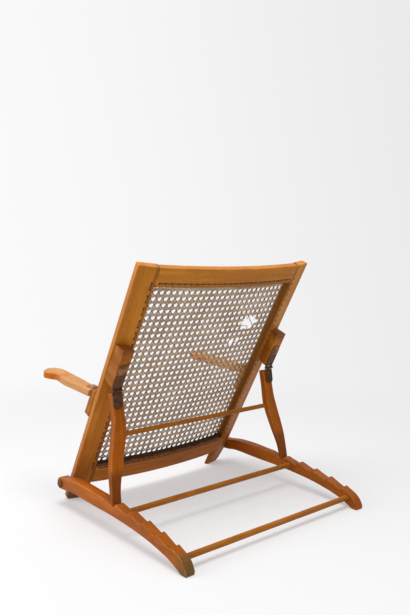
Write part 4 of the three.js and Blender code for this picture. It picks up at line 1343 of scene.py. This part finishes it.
def ribbon(points, width, thickness, normal, start=0.0):
    """A flat oval carried along points, its broad side square to the path and to a normal."""
    tangent = unit(np.gradient(points, axis=0))
    across = unit(np.cross(tangent, np.broadcast_to(normal, tangent.shape)))
    upright = np.cross(across, tangent)
    half = (width / 2 * np.ones(len(points)))[:, None, None]
    rings = (points[:, None] + across[:, None] * (RIBBON[None, :, :1] * half)
             + upright[:, None] * (RIBBON[None, :, 1:] * thickness / 2))
    along = start + np.concatenate([[0], np.linalg.norm(np.diff(points, axis=0), axis=1).cumsum()])
    across_grain, deep_grain = RIBBON.T[:, None]
    grain = np.stack(np.broadcast_arrays(along[:, None], across_grain,
                                         deep_grain + start * GRAIN_SHIFT), -1)
    return tube_shape(rings, grain)


def runs(kept):
    """Start and stop of each run of true values that is long enough."""
    edges = np.flatnonzero(np.diff(np.concatenate([[0], kept.astype(int), [0]])))
    return [(a, b) for a, b in zip(edges[::2], edges[1::2]) if b - a >= SHORTEST_RUN]


def bump_pair(t, spread):
    """A wave that is one at plus the spread and minus one at minus it, and dies away: t over the
    spread times the bell of t over the spread, over the bell's value there."""
    q = t / spread
    return q * np.exp((1 - q * q) / 2)


# Two waves of a strand: per metre, shift per seed and share
WAVES = ((23.0, 2.4, 0.6), (57.0, 5.1, 0.4))


def waver(t, seed):
    """A small slow wander of a strand from its line: two sines of unlike length."""
    return sum(np.sin(t * rate + seed * shift) * share for rate, shift, share in WAVES)


# Numbers of the upright pairs, level pairs and diagonals, counted from the middle opening
UPRIGHTS = range(-15, 15)
LEVELS = range(-16, 18)
DIAGONALS = range(-32, 33)
# Rows from the middle that a diagonal reaches down and up before it is cut to the panel
DIAGONAL_ROWS = (-17, 19)
# How unevenly strands are torn and how their width varies, both as shares
RAGGED = (-0.25, 0.12)
WIDTHS = (0.9, 1.05)
# Greatest place along its grain at which a strand starts
GRAIN_START = 5
# Distance past the rows of holes at which level strands start, before they are cut
SPARE = 0.002


class CHAIR_OT_cane(bpy.types.Operator):
    """Six-way cane: upright and level pairs woven over and under, and single strands on both
    diagonals, each a flat oval along a waved line, cut where the panel is torn"""
    bl_idname = "chair.cane"
    bl_label = "Woven cane"

    def execute(self, context):
        weave = Weave(context.scene)
        sizes = weave.sizes
        pitch, rise, spread = sizes.pitch, sizes.rise, sizes.pair / 2
        normal = back_vector(0.0, 1.0, 0.0)
        chance = np.random.default_rng(seed=7)

        def wave(place, spacing):
            return sizes.swell * bump_pair(place - np.floor(place) - 0.5, spread / spacing)

        def strand(x, v, lift, shapes, ragged, width, held=False):
            kept = weave.inside(x, v)
            if not held:
                kept &= ~weave.cut(x, v, ragged)
            points = in_back(x, weave.depth(x, v) + lift, v)
            for a, b in runs(kept):
                shapes.append(ribbon(points[a:b], width, sizes.strand_thickness, normal,
                                     float(chance.uniform(0, GRAIN_START))))

        families = {"upright": [], "level": [], "rising": [], "falling": []}
        reach = weave.high - weave.low + 2 * sizes.hole_line
        v = np.linspace(weave.low - sizes.hole_line, weave.high + sizes.hole_line,
                        int(reach / rise * STEPS) + 1)
        lift = wave((v - sizes.middle_v) / rise, rise)
        for k in UPRIGHTS:
            line = sizes.middle_x + (k + 0.5) * pitch
            for side in (-1, 1):
                x = line + side * spread + sizes.waver * waver(v, k + side)
                strand(x, v, -side * lift, families["upright"], chance.uniform(*RAGGED),
                       sizes.strand_width * chance.uniform(*WIDTHS))
        edge = float(weave.side_line(weave.high)) + SPARE
        x = np.linspace(-edge, edge, int(2 * edge / pitch * STEPS) + 1)
        lift = wave((x - sizes.middle_x) / pitch, pitch)
        for k in LEVELS:
            line = sizes.middle_v + (k + 0.5) * rise
            for side in (-1, 1):
                v = line + side * spread + sizes.waver * waver(x, k + 3 * side)
                strand(x, v, side * lift, families["level"], chance.uniform(*RAGGED),
                       sizes.strand_width * chance.uniform(*WIDTHS))
        low, high = DIAGONAL_ROWS
        rows = np.linspace(low, high, (high - low) * STEPS + 1)
        v = sizes.middle_v + rows * rise
        swell = sizes.diagonal_swell * np.cos(2 * np.pi * rows)
        for name, turn, width in (("rising", 1, sizes.rising_width),
                                  ("falling", -1, sizes.falling_width)):
            lift = turn * swell + (turn > 0) * sizes.swell
            for k in DIAGONALS:
                x = sizes.middle_x + (k + 0.5 + turn * rows) * pitch + sizes.waver * waver(v, k)
                held = name == "rising" and k == HELD_STRAND
                strand(x, v, lift, families[name], chance.uniform(*RAGGED), width, held)
        for name, shapes in families.items():
            make_piece(f"cane_{name}", joined(shapes),
                       look("cane_dark" if name == "rising" else "cane"), "back",
                       ["cane_panel"])
        return {"FINISHED"}


# The rising diagonal that still crosses the torn place
HELD_STRAND = -18
# Loose ends: place across and upward, direction, length and how far they curl, in radians
LOOSE_ENDS = ((-0.106, 0.409, -1.0, 0.06, 0.021, 0.35), (-0.118, 0.433, -0.5, -1.0, 0.012, -0.6),
              (-0.158, 0.405, 0.9, 0.5, 0.010, 0.8), (-0.136, 0.397, 0.1, 1.0, 0.009, -0.5),
              (-0.152, 0.432, 0.6, -0.8, 0.011, 0.9), (-0.1195, 0.3605, -0.2, 1.0, 0.006, 0.7))
# Points along a loose end, height of its tip, width, taper and thickness over a whole strand's,
# and grain along it per metre of its place across
LOOSE_STEPS = 12
LOOSE_LIFT = 0.003
LOOSE_WIDTH, LOOSE_TAPER, LOOSE_THICKNESS = 0.9, 0.5, 0.7
LOOSE_GRAIN = 31
# Holes along a stile and along a rail, and points along a loop and along the strips
STILE_HOLES = 34
RAIL_HOLES = 26
LOOP_STEPS = 9
UPRIGHT_STEPS = 70
LEVEL_STEPS = 90
# A near-black disc of painted shade over each hole: radius over the hole's, and height above the
# wood
HOLE_SHADE = ((1.0, -0.0008), (1.0, 0.0001), (0.6, 0.00035), (0.1, 0.0004))
HOLE_SHADE_SIDES = 8
# The strips' thickness over a strand's, and the distance of their grain from one to the next
BINDER_THICKNESS = 1.3
BINDER_GRAIN = 1.3


class CHAIR_OT_cane_ties(bpy.types.Operator):
    """Loops behind the frame between its holes, darkened as painted shade, near-black discs of
    painted shade on the holes, the strip that covers them in front, and loose ends: flat ovals
    along lines that dip at their ends"""
    bl_idname = "chair.cane_ties"
    bl_label = "Cane ties"

    def execute(self, context):
        weave = Weave(context.scene)
        sizes, wood, stile = weave.sizes, weave.wood, weave.stile
        normal = back_vector(0.0, 1.0, 0.0)
        chance = np.random.default_rng(seed=11)

        def rear_of(x, v, on_stile):
            if on_stile:
                return stile.face_depth(np.abs(x), v, stile.half_depth)
            return bowed_depth(wood, wood.bow_radius, x)

        low, high = weave.low - sizes.hole_line, weave.high + sizes.hole_line
        uprights = low + (high - low) * np.linspace(0, 1, STILE_HOLES)
        rows = [([(sign * float(weave.side_line(v, True)), v) for v in uprights], True)
                for sign in (-1, 1)]
        for level in (low, high):
            end = float(weave.seam(level)) - sizes.row_inset
            rows.append(([(x, level) for x in np.linspace(-end, end, RAIL_HOLES)], False))
        loops, pegs = [], []
        t = np.linspace(0, 1, LOOP_STEPS)
        arch = np.sin(np.pi * t) ** 0.5 * sizes.loop_rise - sizes.loop_sink
        peg = np.array(HOLE_SHADE) * (sizes.hole_radius, 1.0)
        for row, on_stile in rows:
            for k, (here, there) in enumerate(zip(row, row[1:])):
                wander = sizes.loop_wander * float(chance.uniform(-1, 1)) * np.sin(np.pi * t)
                if on_stile and (k % 2 or here[0] < 0):
                    continue
                x = here[0] + (there[0] - here[0]) * t + (wander if on_stile else 0)
                v = here[1] + (there[1] - here[1]) * t + (0 if on_stile else wander)
                points = in_back(x, rear_of(x, v, on_stile) + arch, v)
                loops.append(ribbon(points, sizes.loop_width, sizes.strand_thickness, normal,
                                    float(chance.uniform(0, GRAIN_START))))
            for x, v in row:
                depth = float(rear_of(np.array(x), v, on_stile))
                pegs.append(lathe(peg, in_back(x, depth, v), normal, HOLE_SHADE_SIDES))
        reach_v = np.linspace(low - sizes.overrun, high + sizes.overrun, UPRIGHT_STEPS)
        lift = -sizes.diagonal_swell - sizes.strand_thickness
        strips = [(sign * weave.side_line(reach_v), reach_v) for sign in (-1, 1)]
        for level in (low, high):
            end = float(weave.side_line(level)) + sizes.overrun
            x = np.linspace(-end, end, LEVEL_STEPS)
            strips.append((x, level + 0 * x))
        binder = [ribbon(in_back(x, weave.depth(x, v) + lift, v), sizes.binder_width,
                         sizes.strand_thickness * BINDER_THICKNESS, normal, BINDER_GRAIN * k)
                  for k, (x, v) in enumerate(strips)]
        ends = []
        t = np.linspace(0, 1, LOOSE_STEPS)
        for x, v, to_x, to_v, size, curl in LOOSE_ENDS:
            heading = math.atan2(to_v, to_x) + curl * t
            step = size / (len(t) - 1)
            path_x = x + np.cumsum(np.cos(heading)) * step
            path_v = v + np.cumsum(np.sin(heading)) * step
            lift = LOOSE_LIFT * t * t * np.sign(curl)
            points = in_back(path_x, weave.depth(path_x, path_v) + lift, path_v)
            width = sizes.strand_width * (LOOSE_WIDTH - LOOSE_TAPER * t ** 3)
            ends.append(ribbon(points, width, sizes.strand_thickness * LOOSE_THICKNESS, normal,
                               x * LOOSE_GRAIN))
        # The loops and the discs over the holes carry painted shade
        for name, shapes, material in (("loops", loops, "knot"), ("pegs", pegs, "peg"),
                                       ("binder", binder, "cane"), ("loose_ends", ends, "cane")):
            make_piece(f"cane_{name}", joined(shapes), look(material), "back", ())
        return {"FINISHED"}


# Slices across a screw's head, by their sines, and points along each slice
HEAD_SLICES = np.sin(np.radians(np.linspace(-86, 86, 23)))
HEAD_POINTS = np.linspace(-1, 1, 13)
# Slices at the slot's walls and middle over half its width, and how far the others keep off
SLOT_WALLS = (-1.25, -0.8, 0.0, 0.8, 1.25)
SLOT_CLEAR = 1.4
# Reach of a head's underside over that of its upper side
UNDERSIDE = 0.8


def screw_head(radius, rise, slot_width, slot_depth, turn, place):
    """A domed round head cut into level slices: the height is the dome's, one less the square of
    the distance from the middle, less the slot's depth near the middle line."""
    slices = radius * HEAD_SLICES
    half = slot_width / 2
    y = np.sort(np.concatenate([slices[np.abs(slices) > half * SLOT_CLEAR],
                                half * np.array(SLOT_WALLS)]))
    x = np.sqrt(radius ** 2 - y ** 2)[:, None] * HEAD_POINTS[None]
    slot = slot_depth * (np.abs(y) < half)[:, None]
    z = rise * (1 - (x ** 2 + y[:, None] ** 2) / radius ** 2) - slot
    upper = np.stack(np.broadcast_arrays(x, y[:, None], z), -1)
    lower = upper[:, ::-1] * (UNDERSIDE, 1, 0) - (0, 0, 2 * slot_depth)
    grid = np.concatenate([upper, lower], 1)
    c, s = math.cos(turn), math.sin(turn)
    grid = np.stack([grid[..., 0] * c - grid[..., 1] * s, grid[..., 0] * s + grid[..., 1] * c,
                     grid[..., 2]], -1)
    return tube_shape(place(grid), grid.copy())


# Cut beside a barrel, and points on a leaf's outline and its corners
LEAF_GAP = 0.0004
LEAF_STEP = 0.003
LEAF_CORNER = np.radians(np.linspace(0, 90, 8))
# Rounded edge of a leaf over its thickness, and of a barrel over its radius
LEAF_EDGE = 0.22
BARREL_EDGE = 0.12
# Screw heads of the hinges over their radius: dome, slot's width and depth; and their height
# above the leaf
HEAD_SHARES = np.array((0.1, 0.28, 0.22))
HEAD_LIFT = 0.00012
HINGE_SIZES = ("leaf_width", "leaf_thickness", "leaf_corner", "knuckle", "screw_head", "screw_pair")


class Hinge:
    """A leaf that stands up from its pin with its barrels, its screws and its pin. Its own frame
    has across, along from the pin, and height off the wood, which starts at the knuckle's
    radius below the pin. Kind is what the names of its sizes start with."""

    def __init__(self, kind, size, near, far=None):
        self.width, self.thickness, self.corner, self.knuckle, self.head, pair = (
            getattr(bpy.context.scene.chair_metal, kind + word) for word in HINGE_SIZES)
        self.size = size
        self.screws = [(-pair / 2, near), (pair / 2, near)] + ([(0.0, far)] if far else [])

    def leaf(self, outer, place):
        """A plate with round corners and a cut beside each barrel, and the barrels."""
        half, sixth, gap = self.width / 2, self.width / 6, LEAF_GAP
        start = self.knuckle * 0.5
        arc = np.stack([half - self.corner + self.corner * np.cos(LEAF_CORNER),
                        self.size - self.corner + self.corner * np.sin(LEAF_CORNER)], 1)
        top = np.vstack([arc, arc[::-1] * (-1, 1)])
        if outer:
            wall, side, tongue = sixth + gap, start, self.knuckle + gap
            zones = [(-half, -wall), (wall, half)]
        else:
            wall, side, tongue = sixth - gap, self.knuckle + gap, start
            zones = [(-wall, wall)]
        root = [(-half, side), (-wall, side), (-wall, tongue), (wall, tongue), (wall, side),
                (half, side)]
        outline = even(np.vstack([root, top]), LEAF_STEP)
        shapes = [plate(outline, -self.knuckle, -self.knuckle + self.thickness,
                        self.thickness * LEAF_EDGE, place)]
        radius, c = self.knuckle, self.knuckle * BARREL_EDGE
        for low, high in zones:
            shapes.append(self.barrel([(start, low), (radius - c, low), (radius, low + c),
                                       (radius, high - c), (radius - c, high), (start, high)],
                                      place))
        return joined(shapes)

    @staticmethod
    def barrel(profile, place, sides=28):
        """A profile of radii and places across, turned about the pin."""
        profile = np.asarray(profile, float)
        theta = np.linspace(0, 2 * math.pi, sides, endpoint=False)
        r, x = profile[:, :1], profile[:, 1:]
        grid = np.stack(np.broadcast_arrays(x, r * np.cos(theta), r * np.sin(theta)), -1)
        return tube_shape(place(grid), grid.copy())

    def heads(self, place, seed):
        """The screws' heads, each slot turned its own way."""
        chance = np.random.default_rng(seed)
        shapes = []
        for across, along in self.screws:
            def put(grid, across=across, along=along):
                return place(grid + (across, along, self.thickness - self.knuckle + HEAD_LIFT))
            shapes.append(screw_head(self.head, *(self.head * HEAD_SHARES),
                                     float(chance.uniform(0, 3)), put))
        return shapes

    def pin(self, radius, place):
        """A rod through the barrels, with its ends cut back."""
        half, edge, end = self.width / 2, radius * 0.3, radius * 0.6
        return self.barrel([(end, -half), (radius, -half + edge), (radius, half - edge),
                            (end, half)], place, sides=16)


def make_leaf(hinge, outer, place, word, stands_for, material, body, seed):
    """A leaf and its screws, on both sides."""
    make_pair(f"{word}_leaf", hinge.leaf(outer, place), look(material), body, stands_for,
              PLATE_SMOOTH)
    for k, head in enumerate(hinge.heads(place, seed), 1):
        make_pair(f"{word}_screw_{k}", head, look("steel"), body, f"{word}_leaf_screw_{k}",
                  HEAD_SMOOTH)


class CHAIR_OT_strut_hinges(bpy.types.Operator):
    """Two bronze hinges: plates with round corners, turned barrels and slotted screw heads"""
    bl_idname = "chair.strut_hinges"
    bl_label = "Strut hinges"

    def execute(self, context):
        metal, wood = context.scene.chair_metal, context.scene.chair_wood
        strut = StrutPlace(context.scene)
        middle = wood.stile_offset - wood.block_inset + wood.block_width / 2
        depth = wood.block_rear + metal.knuckle + wood.joint_gap
        height = wood.block_from - metal.pin_below_block

        def above(grid):
            return in_back(grid[..., 0] + middle, grid[..., 2] + depth, grid[..., 1] + height)

        def below(grid):
            return strut.place(grid[..., [0, 2, 1]] * (1, 1, -1) + (middle, 0, 0))

        upper = Hinge("", metal.upper_leaf, metal.upper_near, metal.upper_far)
        lower = Hinge("", metal.lower_leaf, metal.lower_near, metal.lower_far)
        make_leaf(upper, True, above, "upper", "strut_hinge_upper_leaf", "leaf", "back", seed=3)
        make_leaf(lower, False, below, "lower", "strut_hinge_lower_leaf", "bronze", "strut_frame",
                  seed=5)
        make_pair("hinge_pin", upper.pin(metal.hinge_pin, above), look("steel"), "back",
                  "strut_hinge_pin")
        return {"FINISHED"}


class CHAIR_OT_arm_hinges(bpy.types.Operator):
    """Two small hinges between the arm blocks and the arms, made as the strut hinges are"""
    bl_idname = "chair.arm_hinges"
    bl_label = "Arm hinges"

    def execute(self, context):
        metal, wood = context.scene.chair_metal, context.scene.chair_wood
        middle = (wood.stile_offset - wood.arm_block_inset
                  + wood.arm_block_width / 2)

        def on_block(grid):
            return arm_place(grid * (-1, 1, 1) + (middle, 0, 0))

        def on_arm(grid):
            return arm_place(grid * (1, -1, 1) + (middle, 0, 0))

        fixed = Hinge("arm_", metal.arm_fixed_leaf, metal.arm_fixed_screw_place)
        moving = Hinge("arm_", metal.arm_leaf, metal.arm_screw_place)
        make_leaf(fixed, True, on_block, "arm_fixed", "arm_hinge_fixed_leaf", "small_leaf", "back",
                  seed=8)
        make_leaf(moving, False, on_arm, "arm_moving", "arm_hinge_moving_leaf", "small_leaf",
                  "arm_{}", seed=9)
        make_pair("arm_pin", fixed.pin(metal.arm_pin, on_block), look("steel"), "back",
                  "arm_hinge_pin")
        return {"FINISHED"}


# A pivot screw's rim: radius over the head's, and height over the rim's; its dome's radius over
# the head's, and the turn of its slot in radians
PIVOT_RIM = ((0.9, 0), (1, 1 / 3), (1, 7 / 9), (0.96, 1))
DOME_SHARE = 0.97
SLOT_TURN = 0.5
RING_SIDES = 40


class CHAIR_OT_pivots(bpy.types.Operator):
    """The pivot screws with washers and spacers: turned profiles and a slotted dome"""
    bl_idname = "chair.pivots"
    bl_label = "Pivots"

    def execute(self, context):
        metal, gap = context.scene.chair_metal, context.scene.chair_wood.joint_gap
        washer_low = RAIL_HIGH[0] + gap
        washer_high = washer_low + metal.washer_thickness
        head_low = washer_high + gap
        middle = PIVOT * (0, 1, 1)
        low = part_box("pivot_screw_left")[0][0]
        r, rim, bolt = metal.pivot_head, metal.head_rim, metal.pivot_radius

        def ring(radius, low, high):
            c = metal.washer_thickness / 4
            return lathe([(bolt + gap, low), (radius - c, low), (radius, low + c),
                          (radius, high - c), (radius - c, high), (bolt + gap, high)],
                         middle, ACROSS, RING_SIDES)

        def put(grid):
            return grid[..., [2, 0, 1]] + middle + (head_low + rim, 0, 0)

        body = lathe([(bolt / 2, low), (bolt, low + bolt), (bolt, head_low),
                      *((r * share, head_low + rim * height) for share, height in PIVOT_RIM)],
                     middle, ACROSS, RING_SIDES)
        dome = screw_head(r * DOME_SHARE, metal.head_dome, metal.pivot_slot_width,
                          metal.pivot_slot_depth, SLOT_TURN, put)
        washer = ring(metal.washer, washer_low, washer_high)
        spacer = ring(metal.spacer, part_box("pivot_spacer_left")[0][0], RAIL_LOW[0] - gap)
        for name, shape, material, stands_for in (
                ("pivot_bolt", joined([body, dome]), "pivot", "pivot_screw"),
                ("pivot_disc", washer, "pivot", "pivot_washer"),
                ("pivot_ring", spacer, "steel", "pivot_spacer")):
            make_pair(name, shape, look(material), "back", stands_for, PLATE_SMOOTH)
        return {"FINISHED"}


# The backdrop's dimmer side and the side behind the chair: a direction, and the cosines to it
# between which the tone changes
WORLD_SIDES = (((-0.73, 0.65, 0.2), -0.35, 0.55), ((-0.05, -0.93, 0.37), -0.4, 0.3))


class CHAIR_OT_stage(bpy.types.Operator):
    """Floor, soft lamps and the photograph's camera"""
    bl_idname = "chair.stage"
    bl_label = "Stage"

    def execute(self, context):
        stage = context.scene.chair_stage
        self.floor(stage)
        self.world(context, stage)
        self.lamp("key_lamp", stage.key_place, stage.lit_place, stage.key_size, stage.key_power)
        self.lamp("side_lamp", stage.side_place, stage.lit_place, stage.side_size, stage.side_power)
        self.camera(context, stage)
        return {"FINISHED"}

    @staticmethod
    def floor(stage):
        """A pale floor that fades out with the distance from the chair."""
        corners = np.array([(-1, -1, 0), (1, -1, 0), (1, 1, 0), (-1, 1, 0)]) * stage.floor_reach
        mesh = bpy.data.meshes.new("floor")
        mesh.from_pydata(corners.tolist(), [], [(0, 1, 2, 3)])
        floor = bpy.data.objects.new("floor", mesh)
        bpy.context.scene.collection.objects.link(floor)
        n = Nodes("pale_floor")
        place = n.object_place()
        far = n.add("ShaderNodeVectorMath", {"operation": "LENGTH"}, [place], output="Value")
        clear = n.add("ShaderNodeBsdfTransparent")
        n.mix_shader(far.rising(stage.floor_clear_from, stage.floor_clear_to),
                     Value(n, n.shader.outputs[0]), clear)
        seen = n.rays()[1]
        mesh.materials.append(n.finish(Base_Color=n.mix(seen, stage.floor, stage.floor_seen),
                                       Roughness=0.9, Specular_IOR_Level=0.1,
                                       Emission_Color=n.mix(seen, (0, 0, 0), stage.floor_white),
                                       Emission_Strength=1.0))

    @staticmethod
    def world(context, stage):
        """Even light from all round, and a backdrop that only the camera and shine see."""
        world = bpy.data.worlds.new("studio")
        context.scene.world = world
        n = Nodes(world=world)
        light = n.add("ShaderNodeBackground", None, {"Strength": stage.world_strength})
        ray = n.add("ShaderNodeTexCoord", output="Generated")
        dim, ahead = (n.add("ShaderNodeVectorMath", {"operation": "DOT_PRODUCT"}, [ray, way],
                            output="Value").rising(low, high) for way, low, high in WORLD_SIDES)
        camera, seen_by = n.rays()
        tone = n.mix(dim, stage.backdrop, stage.dim_side)
        tone = n.mix(ahead.most(camera), stage.behind, tone)
        seen = n.add("ShaderNodeBackground", None, {"Color": tone, "Strength": 1.0})
        n.mix_shader(seen_by, light, seen)

    @staticmethod
    def lamp(name, place, target, size, power):
        """A square lamp that points at a target."""
        lamp = bpy.data.lights.new(name, "AREA")
        lamp.shape, lamp.size, lamp.energy = "SQUARE", size, power
        thing = bpy.data.objects.new(name, lamp)
        bpy.context.scene.collection.objects.link(thing)
        thing.matrix_world = looking(place, target - place, 0.0)

    @staticmethod
    def camera(context, stage):
        """The photograph's camera: its lens over its sensor is the focal length over the height,
        both in pixels."""
        camera = bpy.data.cameras.new("camera")
        camera.sensor_fit = "VERTICAL"
        camera.sensor_height = 36.0
        camera.lens = stage.camera_focus / stage.image_height * camera.sensor_height
        camera.clip_start, camera.clip_end = 0.01, 50.0
        thing = bpy.data.objects.new("camera", camera)
        context.scene.collection.objects.link(thing)
        thing.matrix_world = looking(stage.camera_place, stage.camera_look, stage.camera_roll)
        context.scene.camera = thing


def looking(place, direction, roll):
    """The matrix of a thing that looks along a direction, level and then turned by the roll."""
    turn = Vector(direction).to_track_quat("-Z", "Y").to_matrix().to_4x4()
    return Matrix.Translation(Vector(place)) @ turn @ Matrix.Rotation(roll, 4, "Z")


OPERATORS = (CHAIR_OT_stiles, CHAIR_OT_back_rails, CHAIR_OT_blocks, CHAIR_OT_base_rails,
             CHAIR_OT_struts, CHAIR_OT_base_rods, CHAIR_OT_arms, CHAIR_OT_cane,
             CHAIR_OT_cane_ties, CHAIR_OT_strut_hinges, CHAIR_OT_arm_hinges, CHAIR_OT_pivots,
             CHAIR_OT_stage)


class CHAIR_PT_panel(bpy.types.Panel):
    """Buttons for the pieces of the chair"""
    bl_label = "Deck chair"
    bl_idname = "CHAIR_PT_panel"
    bl_space_type = "VIEW_3D"
    bl_region_type = "UI"
    bl_category = "Deck chair"

    def draw(self, context):
        for operator in OPERATORS:
            self.layout.operator(operator.bl_idname)


def register():
    for group in GROUPS.values():
        bpy.utils.register_class(group)
    for name, group in GROUPS.items():
        setattr(bpy.types.Scene, name, PointerProperty(type=group))
    for thing in (*OPERATORS, CHAIR_PT_panel):
        bpy.utils.register_class(thing)


def unregister():
    for thing in (CHAIR_PT_panel, *reversed(OPERATORS)):
        bpy.utils.unregister_class(thing)
    for name, group in reversed(GROUPS.items()):
        delattr(bpy.types.Scene, name)
        bpy.utils.unregister_class(group)


def main():
    register()
    bpy.context.scene.view_settings.view_transform = "Standard"
    for operator in OPERATORS:
        family, name = operator.bl_idname.split(".")
        getattr(getattr(bpy.ops, family), name)()
    bpy.context.view_layer.update()


if __name__ == "__main__":
    main()
